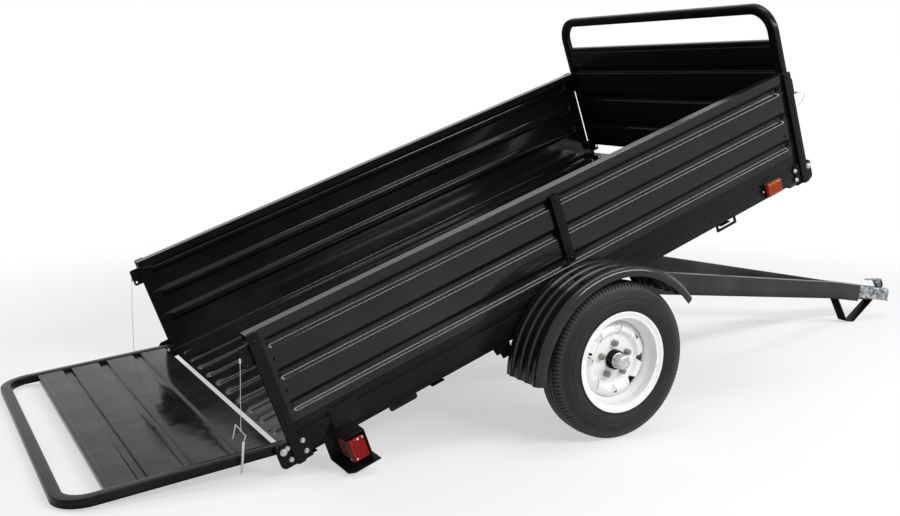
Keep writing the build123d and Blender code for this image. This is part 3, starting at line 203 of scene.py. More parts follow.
# %% A finish
class Finish(Graph):
    """A material on the Principled shader, with the trailer's own coordinates at hand."""

    def __init__(self, name, **fixed):
        self.material = bpy.data.materials.new(name)
        self.material.use_nodes = True
        super().__init__(self.material.node_tree)
        self.shader = self.tree.nodes["Principled BSDF"]
        for socket, value in fixed.items():
            self.shader.inputs[socket.replace("_", " ")].default_value = value
        self.place = self.node("TexCoord", output="Object")
        print("finish:", name)

    def noise(self, scale, detail=3.0, roughness=0.5, stretch=None):
        """Cloudy pattern from 0 to 1; stretch squeezes it along an axis."""
        place = self.place
        if stretch:
            place = self.node("Mapping", {}, {"Vector": place, "Scale": stretch})
        return self.node("TexNoise", {},
                         {"Vector": place, "Scale": scale, "Detail": detail, "Roughness": roughness})

    def steps(self, level, *stops):
        """Turns a number into another by a ramp of (position, value) stops."""
        return self.node("ValToRGB", {"stops": stops}, {0: level})

    def blend(self, share, first, second):
        """A colour part of the way from the first to the second."""
        return self.node("Mix", {"data_type": "RGBA"}, {0: share, 6: first, 7: second}, output=2)

    def part(self, vector, axis):
        """One of a vector's three numbers: 0 forwards, 1 to the left, 2 up."""
        return self.node("SeparateXYZ", {}, {0: vector}, output=axis)

    def set(self, **levels):
        """Feeds the shader's sockets: Base_Color is Base Color."""
        for socket, value in levels.items():
            self.link(self.shader.inputs[socket.replace("_", " ")], value)

    def relief(self, level, distance, strength=1.0):
        """Fine relief, as a bump of the given depth in metres."""
        bump = self.node("Bump", {}, {"Height": level, "Distance": distance, "Strength": strength})
        self.link(self.shader.inputs["Normal"], bump)
        return self

    def mix_in(self, share, other):
        """Lets a second shader show by a share from 0 to 1."""
        own = Level(self, self.shader.outputs[0])
        mixed = self.node("MixShader", {}, {0: share, 1: own, 2: other})
        self.link(self.tree.nodes["Material Output"].inputs["Surface"], mixed)
        return self


# %% [markdown]
# ## The four lanyards
# Each latch pin is tied to the trailer by a thin steel wire, crimped at both ends. A wire bends in one smooth
# line, so it is a curve with a round section. A NURBS spline pulled by a few points gives that line without
# kinks. Its finish shows the twist of the strands.

# %% Wire finish
def wire_finish():
    finish = Finish("wire", Metallic=1.0)
    strands = finish.node("TexWave", {"bands_direction": "DIAGONAL"},
                          {"Vector": finish.place, "Scale": 260.0, "Distortion": 2.0})
    dirt = finish.noise(70.0)
    finish.set(Base_Color=finish.blend(dirt, (0.62, 0.62, 0.61, 1), (0.45, 0.45, 0.44, 1)),
               Roughness=0.24 + strands * 0.22)
    return finish.relief(strands, 0.0003, 0.6).material


WIRE = wire_finish()

# %% Where the wires run
WIRE_DIAMETER = 2.0      # millimetres
# rear wires hang plumb, so their offsets are forwards, outwards and down from the crimp's mouth
REAR_WIRES = {
    "left": (((0, 0, 0), (-0.5, 0, 60), (-4, 0.5, 130), (-2, 1, 240), (0, 1, 346)), 0.346),
    "right": (((0, 0, 0), (0, 0, 54), (-2, 0.8, 106), (-1, 1.4, 152), (-2.5, 1, 198)), 0.198),
}
REAR_CRIMP = Vector((-1142.5, 694.0, 541.0))
CRIMP_HALF = 7.0
# front wires loop out of a crimp on the post and back into the pin: forwards, outwards and up
FRONT_WIRE = ((0, 0, 0), (8, 0, 0), (15, 2, 4), (21, 8, 12), (23, 17, 23), (21, 28, 34), (15, 36, 46),
              (6, 37, 55))
FRONT_CRIMP = Vector((1192.0, 701.5, 463.0))
PIN_END = Vector((front_hinge_x, 719.5, 522.0))
PIN_LEAD = Vector((0, 10.0, 0))         # the wire runs straight into the pin for the last 10 mm
print("crimps on the bed, in millimetres:", REAR_CRIMP[:], FRONT_CRIMP[:])


# %% A crimped wire
def lanyard(name, points, place, side, node):
    """A crimped wire along listed points; side is 1 on the left and -1 on the right."""
    curve = bpy.data.curves.new(name, "CURVE")
    curve.dimensions = "3D"
    curve.bevel_depth = WIRE_DIAMETER * MM / 2
    curve.bevel_resolution = 3
    spline = curve.splines.new("NURBS")
    spline.points.add(len(points) - 1)
    for slot, (x, y, z) in zip(spline.points, points):
        slot.co = (*(place @ Vector((x, side * y, z))), 1)
    spline.order_u = 3
    spline.use_endpoint_u = True
    spline.resolution_u = 12
    wire = bpy.data.objects.new(name, curve)
    bpy.context.collection.objects.link(wire)
    curve.materials.append(WIRE)
    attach(wire, "bed")
    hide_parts(node)
    return wire, place @ Vector((points[0][0], side * points[0][1], points[0][2]))


# %% Hang the four lanyards
def hang_rear(side, hand):
    """A wire that hangs plumb from its crimp, so it is drawn in the ground's directions."""
    crimp = bed @ REAR_CRIMP
    offsets, length = REAR_WIRES[hand]
    points = [(crimp.x + dx * MM, crimp.y + dy * MM, crimp.z - (CRIMP_HALF + drop) * MM)
              for dx, dy, drop in offsets]
    node = "lanyard_rear_" + hand
    wire, mouth = lanyard(node + "_wire", points, Matrix.Identity(4), side, node)
    return wire, mouth, length


def hang_front(side, hand):
    """A short loop from the front post's crimp into the end of the pin."""
    points = [FRONT_CRIMP + Vector(step) for step in FRONT_WIRE] + [PIN_END + PIN_LEAD, PIN_END]
    node = "lanyard_front_" + hand
    return lanyard(node + "_wire", points, bed, side, node)


for side, hand in ((1, "left"), (-1, "right")):
    wire, mouth, length = hang_rear(side, hand)
    wire, mouth = hang_front(side, hand)
    print("lanyards on the", hand)

# %% [markdown]
# ## Floor, sky and lamps
# A studio has no horizon. The floor is pale and fades into the white sky at a distance, while near the
# trailer it stays a matt floor that keeps the shadow. Long, narrow soft boxes draw the bright lines that show
# a folded sheet's bends.

# %% Lay the floor
FLOOR_SIZE = 120.0
FADE_START = 2.2         # metres from the middle of the trailer
FADE_END = 4.2
NEAR_GLOW = 0.55         # share of plain white in the floor under the trailer
WHITE = (1, 1, 1, 1)


def floor_finish():
    finish = Finish("studio_floor", Base_Color=(0.86, 0.86, 0.86, 1), Roughness=0.9)
    reach = finish.node("VectorMath", {"operation": "LENGTH"}, {0: finish.place}, output="Value")
    far = finish.between(reach, FADE_START, FADE_END, NEAR_GLOW, 1.0, "SMOOTHSTEP")
    glow = finish.node("Emission", {}, {"Color": WHITE, "Strength": 1.0})
    return finish.mix_in(finish.seen() * far, glow).material


bpy.ops.object.select_all(action="DESELECT")
bpy.ops.mesh.primitive_plane_add(size=FLOOR_SIZE, location=(0, 0, 0))
floor = bpy.context.object
floor.name = "studio_floor"
floor.data.materials.append(floor_finish())

# %% Light the studio
SKY_LIGHT = 0.34
LAMP_AIM = 0.6           # metres above the ground
world = bpy.data.worlds.new("studio_sky")
bpy.context.scene.world = world
world.use_nodes = True
sky = Graph(world.node_tree)
backdrop = sky.tree.nodes["Background"]
sky.link(backdrop.inputs["Color"], WHITE)
sky.link(backdrop.inputs["Strength"], sky.between(sky.seen(), 0.0, 1.0, SKY_LIGHT, 1.0))


def soft_lamp(name, place, size, power):
    """A soft box that lies along the trailer and leans towards its centre plane."""
    aim = Vector((place[0], 0, LAMP_AIM)) - Vector(place)
    bpy.ops.object.light_add(type="AREA", location=place, rotation=aim.to_track_quat("-Z", "Y").to_euler())
    lamp = bpy.context.object
    lamp.name = name
    lamp.data.shape = "RECTANGLE"
    lamp.data.size, lamp.data.size_y = size
    lamp.data.energy = power
    print(name, "at", place, "of", power, "W")


soft_lamp("key_softbox", (2.2, -4.2, 3.3), (5.5, 0.65), 250)
soft_lamp("overhead_softbox", (0.3, -0.8, 4.6), (4.0, 1.2), 60)
soft_lamp("rear_softbox", (-3.5, 3.0, 4.0), (3.0, 1.5), 65)
bpy.context.scene.view_settings.view_transform = "Standard"

# %% [markdown]
# ## Black powder coat
# The frame and the sheets are baked with glossy black powder. It is nearly black, with the faint orange-peel
# skin of the powder, a broad waviness in the thin sheets, and a film of dust that settles low down. Faces that
# look down are painted dark and matt, which is painted shade. Tubes are a little duller than sheets, so the same
# recipe is used with other numbers for each kind of piece.

# %% Black finishes
DUSTY_BELOW = 0.9                  # metres above the ground
DOWNWARD_SHADE_FACING = (-0.05, -0.30)         # how far down a face looks where the painted shade on downward faces starts and ends to fade in
DUST = (0.060, 0.054, 0.047, 1)
RELIEF = 0.001                     # metres that a whole unit of relief stands up
PEEL = 0.006


def black_finish(name, tone, gloss, wave, dust, level):
    """Powder coat: its darkness, its roughness, the sheet's waviness in metres, its dust and its shine."""
    finish = Finish(name, IOR=1.45, Specular_IOR_Level=level)
    cloud = finish.noise(3.2, 4.0, 0.6)
    streak = finish.noise(5.0, 3.0, 0.6, stretch=(0.6, 6.0, 6.0))
    grit = finish.noise(160.0, 2.0, 0.7)
    low = finish.between(finish.part(finish.place, 2), DUSTY_BELOW, 0.0, 0.15, 1.0)
    film = finish.steps(cloud, (0.42, 0.0), (0.75, 1.0)) * low * dust
    film = film + finish.steps(grit, (0.6, 0.0), (0.75, 1.0)) * low * (dust * 0.3)
    dark = (tone, tone, tone * 1.06, 1)
    finish.set(Base_Color=finish.blend(film, dark, DUST), Roughness=gloss + film * 0.3 + (streak - 0.5) * 0.12)
    finish.relief(finish.noise(420.0, 1.0) * PEEL + finish.noise(5.5, 2.0) * (wave / RELIEF), RELIEF)
    # painted shade: faces that look down fade into a dark, matt shader, which stands in for the dark ground they
    # would mirror
    facing = finish.part(finish.node("NewGeometry", output="Normal"), 2)
    painted_shade_below = finish.node("BsdfPrincipled", {}, {"Base Color": (tone * 0.5, tone * 0.5, tone * 0.5, 1),
                                              "Roughness": 0.8, "Specular IOR Level": 0.03})
    return finish.mix_in(finish.between(facing, *DOWNWARD_SHADE_FACING, 0.0, 0.9), painted_shade_below).material


BLACK_SHEET = black_finish("black_sheet_paint", 0.008, 0.12, 0.0010, 0.35, 0.30)
BLACK_GATE = black_finish("black_gate_paint", 0.008, 0.12, 0.0030, 0.6, 0.13)
BLACK_TUBE = black_finish("black_tube_paint", 0.005, 0.22, 0.0003, 0.25, 0.13)
BLACK_DRAWBAR = black_finish("black_drawbar_paint", 0.010, 0.30, 0.0006, 0.75, 0.22)
BLACK_FENDER = black_finish("black_fender_paint", 0.008, 0.16, 0.0006, 0.3, 0.42)

# %% [markdown]
# ## Metals
# Zinc plate is smooth and clouded. The coupler's pressed sheet is plated too, but it is darker and uneven.
# Galvanising shows its crystals, and bare steel is dull. The plain metals share one recipe, because they
# differ only in their pattern, their two shades and their roughness.

# %% Bright metals
def zinc_finish(name, dull, bright, wave):
    """Plated steel, from its dull shade to its bright one; wave is its unevenness in metres."""
    finish = Finish(name, Metallic=1.0)
    cloud = finish.steps(finish.noise(46.0, 4.0, 0.6), (0.36, 0.0), (0.64, 1.0))
    stain = finish.noise(90.0, 3.0, 0.6)
    finish.set(Base_Color=finish.blend(cloud, dull, bright), Roughness=0.20 + stain * 0.22)
    return finish.relief(finish.noise(75.0, 2.0), wave).material


def plain_metal(name, cloud_of, first, second, rough, spread, depth):
    """A metal whose shade, roughness and relief all follow one pattern."""
    finish = Finish(name, Metallic=1.0)
    cloud = cloud_of(finish)
    finish.set(Base_Color=finish.blend(cloud, first, second), Roughness=rough + cloud * spread)
    return finish.relief(cloud, depth).material


def crystals(finish):
    cells = finish.node("TexVoronoi", {}, {"Vector": finish.place, "Scale": 130.0}, output="Color")
    return finish.node("SeparateColor", {}, {0: cells})


ZINC = zinc_finish("zinc_plate", (0.42, 0.43, 0.44, 1), (0.62, 0.61, 0.58, 1), 0.0001)
PRESSED_ZINC = zinc_finish("pressed_zinc", (0.08, 0.095, 0.11, 1), (0.46, 0.48, 0.50, 1), 0.0022)
YELLOW_ZINC = plain_metal("yellow_zinc", lambda finish: finish.noise(120.0, 3.0, 0.6),
                          (0.17, 0.165, 0.145, 1), (0.36, 0.345, 0.30, 1), 0.3, 0.2, 0.0001)
GALVANISED = plain_metal("galvanised_zinc", crystals,
                         (0.44, 0.45, 0.45, 1), (0.62, 0.62, 0.60, 1), 0.34, 0.18, 0.0001)
DULL_STEEL = plain_metal("dull_steel", lambda finish: finish.noise(60.0, 3.0),
                         (0.24, 0.24, 0.24, 1), (0.36, 0.35, 0.33, 1), 0.38, 0.2, 0.0002)

# %% [markdown]
# ## Enamel, rubber and lenses
# The rims are enamelled white, and behind their discs the enamel is painted near black, as painted shade of the
# wheel's inside. Tyre rubber is black and dusty, with fine rings moulded round its wall. Each lens is dyed
# plastic, darker where a prism is thick.

# %% White enamel
DISC_BACK = 0.834                  # metres from the centre plane: behind the wheel's disc the enamel is painted near black, as painted shade
SHADE_EDGE = 0.004


def enamel_finish():
    finish = Finish("white_enamel", Coat_Weight=0.6, Coat_Roughness=0.12)
    cloud = finish.noise(16.0, 4.0, 0.6)
    speck = finish.steps(finish.noise(190.0, 2.0, 0.7), (0.66, 0.0), (0.74, 1.0))
    grime = finish.steps(cloud, (0.5, 0.0), (0.8, 1.0)) * 0.16 + speck * 0.08
    across = finish.node("Math", {"operation": "ABSOLUTE"}, {0: finish.part(finish.place, 1)})
    # painted shade: the enamel behind the disc turns near black and rougher, for the shaded inside of the wheel
    painted_shade_behind = finish.between(across, DISC_BACK + SHADE_EDGE, DISC_BACK - SHADE_EDGE)
    clean = finish.blend(grime, (0.80, 0.80, 0.80, 1), (0.42, 0.39, 0.34, 1))
    finish.set(Base_Color=finish.blend(painted_shade_behind, clean, (0.085, 0.080, 0.072, 1)),
               Roughness=0.32 + grime * 0.5 + painted_shade_behind * 0.3)
    return finish.relief(finish.noise(300.0, 2.0), 0.0001).material


ENAMEL = enamel_finish()

# %% Tyre rubber
RING_TURNS = 2 * pi / 0.0065       # one ring every 6.5 mm
TREAD_STARTS = 0.256               # metres from the axle
TREAD_FADE = 0.012


def rubber_finish():
    finish = Finish("tyre_rubber", Specular_IOR_Level=0.25)
    cloud = finish.noise(9.0, 4.0, 0.6)
    fine = finish.noise(260.0, 3.0, 0.7)
    dust = finish.steps(cloud, (0.35, 0.0), (0.8, 1.0)) * 0.5
    from_axle = finish.node("VectorMath", {"operation": "MULTIPLY_ADD"},
                            {0: finish.place, 1: (1, 0, 1), 2: (-wheel_place.x, 0, -wheel_place.z)})
    radius = finish.node("VectorMath", {"operation": "LENGTH"}, {0: from_axle}, output="Value")
    rings = finish.node("Math", {"operation": "SINE"}, {0: radius * RING_TURNS}) * 0.5 + 0.5
    crown = finish.between(radius, TREAD_STARTS - TREAD_FADE, TREAD_STARTS)
    wear = dust * 0.5 + crown * fine
    finish.set(Base_Color=finish.blend(wear, (0.006, 0.006, 0.007, 1), (0.052, 0.047, 0.040, 1)),
               Roughness=0.42 + cloud * 0.25)
    return finish.relief(fine * 0.3 + rings * (1 - crown) * 0.8, 0.0008).material


RUBBER = rubber_finish()

# %% Lenses
def lens_finish(name, deep, bright):
    finish = Finish(name, Roughness=0.12, Specular_IOR_Level=0.22)
    prism = finish.node("TexVoronoi", {"feature": "F1", "distance": "CHEBYCHEV"},
                        {"Vector": finish.place, "Scale": 150.0, "Randomness": 0.15}, output="Distance")
    cloud = finish.noise(60.0, 3.0)
    finish.set(Base_Color=finish.blend(prism * 1.1 + (cloud - 0.5) * 0.5, bright, deep))
    return finish.relief(prism, 0.002).material


RED_LENS = lens_finish("red_lens", (0.12, 0.002, 0.002, 1), (0.44, 0.006, 0.005, 1))
# painted shade: the rear lens is the same red lens painted darker, because its face gets less light
SHADED_RED_LENS = lens_finish("shaded_red_lens", (0.02, 0.001, 0.001, 1), (0.10, 0.004, 0.005, 1))
AMBER_LENS = lens_finish("amber_lens", (0.14, 0.018, 0.002, 1), (0.38, 0.055, 0.005, 1))

# %% [markdown]
# ## Modelling by hand, from a script
# Every operator works on what is selected, so each helper starts by selecting one piece, and then faces,
# edges or corners are picked by where they lie or which way they face, as a modeller would click on them.

# %% Pick a piece and what to work on
def only(piece):
    """Selects one piece, or none, and nothing else."""
    if bpy.context.mode != "OBJECT":
        bpy.ops.object.mode_set(mode="OBJECT")
    bpy.ops.object.select_all(action="DESELECT")
    if piece is not None:
        piece.select_set(True)
        bpy.context.view_layer.objects.active = piece


def done(piece):
    """Ends the editing of a piece."""
    bpy.ops.object.mode_set(mode="OBJECT")
    return piece


def pick(piece, what="FACE", test=None):
    """Opens a piece for editing with all of it selected, or only what passes a test.

    A face is tested by its middle and its normal, and a corner by its place.
    """
    only(piece)
    bpy.ops.object.mode_set(mode="EDIT")
    bpy.ops.mesh.select_mode(type=what)
    bpy.ops.mesh.select_all(action="DESELECT" if test else "SELECT")
    if test:
        bpy.ops.object.mode_set(mode="OBJECT")
        if what == "FACE":
            for face in piece.data.polygons:
                face.select = test(face.center, face.normal)
        else:
            for vertex in piece.data.vertices:
                vertex.select = test(vertex.co)
        bpy.ops.object.mode_set(mode="EDIT")


# %% Close, modify and shade a piece
def closed(piece, merge=0.01):
    """Joins doubled points, then turns every face outwards."""
    pick(piece)
    bpy.ops.mesh.remove_doubles(threshold=merge)
    bpy.ops.mesh.normals_make_consistent(inside=False)
    return done(piece)


def modify(piece, kind, **settings):
    """Adds a modifier and applies it."""
    only(piece)
    modifier = piece.modifiers.new(kind.lower(), kind)
    for key, value in settings.items():
        setattr(modifier, key, value)
    bpy.ops.object.modifier_apply(modifier=modifier.name)
    return piece


def smooth(piece, angle=35):
    """Shades a piece smooth, apart from edges sharper than the angle."""
    only(piece)
    bpy.ops.object.shade_smooth_by_angle(angle=radians(angle))
    return piece


# %% Draw a line with round bends
OUT = (0, 1, 0)          # away from the centre plane, on the left side
CORNER_SHARE = 0.46      # how much of a short side one bend may take


def rounded(points, radius, steps=3, loop=False):
    """The line with every bend drawn as an arc of up to the radius."""
    line = []
    points = [Vector(p) for p in points]
    count = len(points)
    for i, p in enumerate(points):
        back, ahead = points[i - 1] - p, points[(i + 1) % count] - p
        end = not loop and i in (0, count - 1)
        bend = 0 if end else pi - back.angle(ahead)
        if bend < 0.02:
            line.append(p)
            continue
        reach = min(radius * tan(bend / 2), CORNER_SHARE * back.length, CORNER_SHARE * ahead.length)
        a, b = p + back.normalized() * reach, p + ahead.normalized() * reach
        for k in range(steps + 1):
            t = k / steps
            line.append(a * (1 - t) ** 2 + p * 2 * t * (1 - t) + b * t ** 2)
    return line


def trace(name, points, loop=False):
    """Draws a line by pulling one corner out of the last, and joins its ends for a loop."""
    only(None)
    bpy.ops.mesh.primitive_plane_add(size=0.1, location=points[0])
    piece = bpy.context.object
    bpy.ops.object.transform_apply()
    pick(piece, "VERT")
    bpy.ops.mesh.merge(type="CENTER")
    for a, b in zip(points, points[1:]):
        bpy.ops.mesh.extrude_region_move(TRANSFORM_OT_translate={"value": Vector(b) - Vector(a)})
    if loop:
        bpy.ops.mesh.select_all(action="SELECT")
        bpy.ops.mesh.remove_doubles(threshold=0.001)
        ends = [Vector(points[0]), Vector(points[-1])]
        pick(piece, "VERT", lambda place: min((place - end).length for end in ends) < 0.001)
        bpy.ops.mesh.edge_face_add()
    piece.name = name
    return done(piece)


# %% Place a finished piece, and its twin
def fit(piece, body, material, place, stands_for=None):
    """Puts a piece in its place on the trailer: its mesh goes there, and its object stays at the origin."""
    only(piece)
    bpy.ops.object.transform_apply()
    piece.data.transform(place)
    piece.data.materials.clear()
    piece.data.materials.append(material)
    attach(piece, body)
    if stands_for:
        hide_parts(stands_for)
    return piece


def twin(piece, name):
    """A copy with a mesh of its own."""
    only(piece)
    bpy.ops.object.duplicate()
    copy = bpy.context.object
    copy.name = name
    return copy


def mirrored(piece, name):
    """A copy on the other side of the centre plane."""
    copy = twin(piece, name)
    copy.data.transform(Matrix.Scale(-1, 4, OUT))
    pick(copy)
    bpy.ops.mesh.flip_normals()
    return done(copy)


def both_sides(piece, name, body, material, angle=30, stands_for=""):
    """Fits a piece modelled on the left and its mirrored twin. {} in a name stands for left or right."""
    other = mirrored(piece, name.format("right"))
    piece.name = name.format("left")
    for hand, copy in (("left", piece), ("right", other)):
        smooth(copy, angle)
        fit(copy, body.format(hand), material, bed, stands_for.format(hand))
    print(name.format("left"), "and right, faces on each:", len(piece.data.polygons))


# %% [markdown]
# ## Folded side walls
# Each wall is one sheet with three grooves pressed in from outside, so that it shows ridges inside. The press
# leaves round bends, and those bends catch the light as long bright lines. The section is drawn once with
# round bends, pulled along the bed and given its thickness. Near both ends the grooves run out and leave the
# sheet flat, as a press that is shorter than the sheet leaves it.

# %% A sheet with pressed ribs
SHEET = 1.9              # thickness, millimetres


def pull_with_flat_ends(sheet, low, high, margin, run_out, scale, level, test=lambda place: True):
    """Pulls a section along the bed in five runs, and flattens its ribs in the first and last of them."""
    pick(sheet, "EDGE")
    for run in (margin, run_out, high - low - 2 * (margin + run_out), run_out, margin):
        bpy.ops.mesh.extrude_region_move(TRANSFORM_OT_translate={"value": (run, 0, 0)})
    pick(sheet, "VERT",
         lambda place: min(place.x - low, high - place.x) < margin + 0.1 and test(place))
    bpy.ops.transform.resize(value=scale, center_override=level)
    done(sheet)


def thicken(sheet, front, thickness, offset=-1):
    """Turns an open sheet's faces towards the front, then gives it its thickness behind or before them."""
    pick(sheet)
    bpy.ops.mesh.normals_make_consistent(inside=False)
    done(sheet)
    facing = sum((face.normal * face.area for face in sheet.data.polygons), Vector())
    if facing.dot(Vector(front)) < 0:
        sheet.data.flip_normals()
    return modify(sheet, "SOLIDIFY", thickness=thickness, offset=offset)


# %% Side walls
WALL_RIBS = ((333, 44), (442, 41), (551, 40))      # height above the axle and width, millimetres
RIB_SLOPE = 12.0                                   # width of each slope beside the crest
RIB_DEPTH = 12.0
RIB_MARGIN = 50.0                                  # flat sheet left at each end
RIB_RUN_OUT = 16.0                                 # where a groove runs out
BEND = 11.0
wall_low, wall_high = extent("side_wall_left", bed)


def side_wall():
    outer = wall_high.y
    line = [(wall_low.z, 0)]
    for middle, width in WALL_RIBS:
        foot, crest = width / 2, width / 2 - RIB_SLOPE
        line += [(middle - foot, 0), (middle - crest, RIB_DEPTH),
                 (middle + crest, RIB_DEPTH), (middle + foot, 0)]
    line += [(wall_high.z, 0)]
    wall = trace("side_wall", rounded([(wall_low.x, outer - depth, z) for z, depth in line], BEND))
    pull_with_flat_ends(wall, wall_low.x, wall_high.x, RIB_MARGIN, RIB_RUN_OUT, (1, 0, 1), (0, outer, 0))
    return thicken(wall, OUT, SHEET)


both_sides(side_wall(), "side_wall_{}_sheet", "bed", BLACK_SHEET, 35, "side_wall_{}")

# %% [markdown]
# ## Floor sheet
# The floor is one sheet with eleven ribs pressed upwards, and its sides turn up beside the walls. It is drawn
# across the bed and pulled along it as a wall is, because a rib is the same all the way.

# %% Floor sheet
FLOOR_RIBS = 11
FLOOR_RIB_FOOT = 23.0    # half widths of a rib
FLOOR_RIB_CREST = 12.88
FLOOR_RIB_HEIGHT = 8.0
FLOOR_MARGIN = 14.0      # flat sheet left at each end
FLOOR_RUN_OUT = 12.0
FLOOR_BEND = 7.0
floor_low, floor_high = extent("floor_sheet", bed)


def floor_sheet():
    edge, low = floor_high.y, floor_low.z
    pitch = 2 * (edge - SHEET) / (FLOOR_RIBS + 0.5)
    line = [(-edge, floor_high.z), (-edge, low)]
    for i in range(FLOOR_RIBS):
        middle = (i - (FLOOR_RIBS - 1) / 2) * pitch
        line += [(middle - FLOOR_RIB_FOOT, low), (middle - FLOOR_RIB_CREST, low + FLOOR_RIB_HEIGHT),
                 (middle + FLOOR_RIB_CREST, low + FLOOR_RIB_HEIGHT), (middle + FLOOR_RIB_FOOT, low)]
    line += [(edge, low), (edge, floor_high.z)]
    sheet = trace("floor_sheet", rounded([(floor_low.x, y, z) for y, z in line], FLOOR_BEND))

    def flat_at_ends(place):
        """The ribs, and in front also the side lips, whose corners are cut away towards the gate."""
        on_a_rib = place.z < low + FLOOR_RIB_HEIGHT + 0.5 and abs(place.y) < edge - 5
        return on_a_rib or place.x > floor_high.x - 0.1
    pull_with_flat_ends(sheet, floor_low.x, floor_high.x, FLOOR_MARGIN, FLOOR_RUN_OUT,
                        (1, 1, 0), (0, 0, low), flat_at_ends)
    return smooth(thicken(sheet, (0, 0, 1), SHEET, offset=1))


bed_floor = floor_sheet()
bed_floor.name = "floor_sheet_ribbed"
fit(bed_floor, "bed", BLACK_SHEET, bed, "floor_sheet")
print("floor faces:", len(bed_floor.data.polygons))

# %% [markdown]
# ## Bent tubes
# The gates' hoops are bent from one length of tube each. By hand that is a section, pulled straight, spun
# round the bend and pulled again, so the tube keeps its section all the way.

# %% A hoop bent from one section
HOOP_CORNER = 110.0      # outer radius of the bends
GATE_TUBE = 38.0
TUBE_CORNER = 7.0
BEND_STEPS = 12
hoop_low, hoop_high = extent("front_gate_frame", front_gate)


def gate_hoop():
    depth = hoop_high.x - hoop_low.x
    reach = HOOP_CORNER - GATE_TUBE / 2
    foot, top = hoop_low.z, hoop_high.z - HOOP_CORNER
    start = Vector((0, GATE_TUBE / 2 - hoop_high.y, foot))
    corners = [start + Vector((across * depth / 2, out * GATE_TUBE / 2, 0))
               for across, out in ((-1, -1), (1, -1), (1, 1), (-1, 1))]
    bar = trace("gate_hoop", rounded(corners, TUBE_CORNER, loop=True), loop=True)
    pick(bar, "EDGE")
    y = start.y + reach
    for run, centre in (((0, 0, top - foot), (0, y, top)),
                        ((0, -2 * y, 0), (0, -y, top)),
                        ((0, 0, foot - top), None)):
        bpy.ops.mesh.extrude_region_move(TRANSFORM_OT_translate={"value": run})
        if centre:
            # spin turns left-handed, so the quarter turn from up to the left is positive here
            bpy.ops.mesh.spin(steps=BEND_STEPS, angle=pi / 2, center=centre, axis=(1, 0, 0))
    bpy.ops.mesh.select_all(action="SELECT")
    bpy.ops.mesh.fill_holes(sides=0)
    return smooth(closed(bar))


def both_gates(piece, name, material, stands_for):
    """Fits a piece to the rear gate and its twin to the front gate."""
    other = twin(piece, "front" + name)
    piece.name = "rear" + name
    for end, place, copy in (("rear", rear_gate, piece), ("front", front_gate, other)):
        fit(copy, end + "_gate", material, place, end + stands_for)
        print(copy.name, "faces:", len(copy.data.polygons))


both_gates(gate_hoop(), "_gate_hoop", BLACK_TUBE, "_gate_frame")

# %% [markdown]
# ## Gate panels
# Each hoop is filled by one sheet, stiffened by three shallow ribs and a faint fold near its top. Its section
# is drawn upwards and pulled across, because the ribs run from side to side.

# %% Gate panels
GATE_RIBS = (130, 265, 400)          # from the hinge, millimetres
GATE_RIB_FOOT = 17.0                 # half widths of a rib
GATE_RIB_CREST = 11.0
GATE_RIB_HEIGHT = 9.5
GATE_FOLD = 20.0                     # a faint stiffening fold, from the sheet's top
FOLD_DEPTH = 1.2
FOLD_HALF = 4.0
GATE_BEND = 2.5
GATE_SHEET = 1.5
panel_low, panel_high = extent("front_gate_panel", front_gate)


def gate_panel():
    face, back = panel_high.x, panel_low.x
    line = [(back, panel_low.z), (face, panel_low.z)]
    for middle in GATE_RIBS:
        line += [(face, middle - GATE_RIB_FOOT), (face - GATE_RIB_HEIGHT, middle - GATE_RIB_CREST),
                 (face - GATE_RIB_HEIGHT, middle + GATE_RIB_CREST), (face, middle + GATE_RIB_FOOT)]
    fold = panel_high.z - GATE_FOLD
    line += [(face, fold - FOLD_HALF), (face - FOLD_DEPTH, fold), (face, fold + FOLD_HALF),
             (face, panel_high.z), (back, panel_high.z)]
    half = panel_high.y
    sheet = trace("gate_panel", rounded([(x, -half, z) for x, z in line], GATE_BEND))
    pick(sheet, "EDGE")
    bpy.ops.mesh.extrude_region_move(TRANSFORM_OT_translate={"value": (0, 2 * half, 0)})
    return smooth(thicken(sheet, (1, 0, 0), GATE_SHEET))


both_gates(gate_panel(), "_gate_sheet", BLACK_GATE, "_gate_panel")

# %% [markdown]
# ## Frame pieces with rounded edges
# The rest of the frame has the right shape already, but its edges are mathematically sharp, and a sharp edge
# never catches light. A copy with every edge rounded stands in for each of those pieces.

# %% A rounded copy of a loaded piece
def round_off(piece, width, segments=2, sharp=30):
    """Rounds every edge sharper than the angle."""
    return modify(piece, "BEVEL", width=width, segments=segments, limit_method="ANGLE",
                  angle_limit=radians(sharp), use_clamp_overlap=True)


def merged_copy(node, place):
    """A copy of a loaded piece in a leaning frame, with its triangles joined into plain faces."""
    only(None)
    copy = bpy.data.objects.new(node + "_rounded", frame["nodes"][node].data.copy())
    bpy.context.collection.objects.link(copy)
    copy.data.transform(place.inverted())
    pick(copy)
    bpy.ops.mesh.customdata_custom_splitnormals_clear()
    bpy.ops.mesh.remove_doubles(threshold=0.01)
    bpy.ops.mesh.dissolve_limited(angle_limit=radians(0.5))
    return done(copy)


def rounded_copy(node, body, material, place, width, segments=2, sharp=30, angle=35):
    """Stands a copy of a loaded piece in its place, with its sharp edges rounded."""
    copy = smooth(round_off(merged_copy(node, place), width, segments, sharp), angle)
    fit(copy, body, material, place, node)
    print(copy.name, "faces:", len(copy.data.polygons))
    return copy


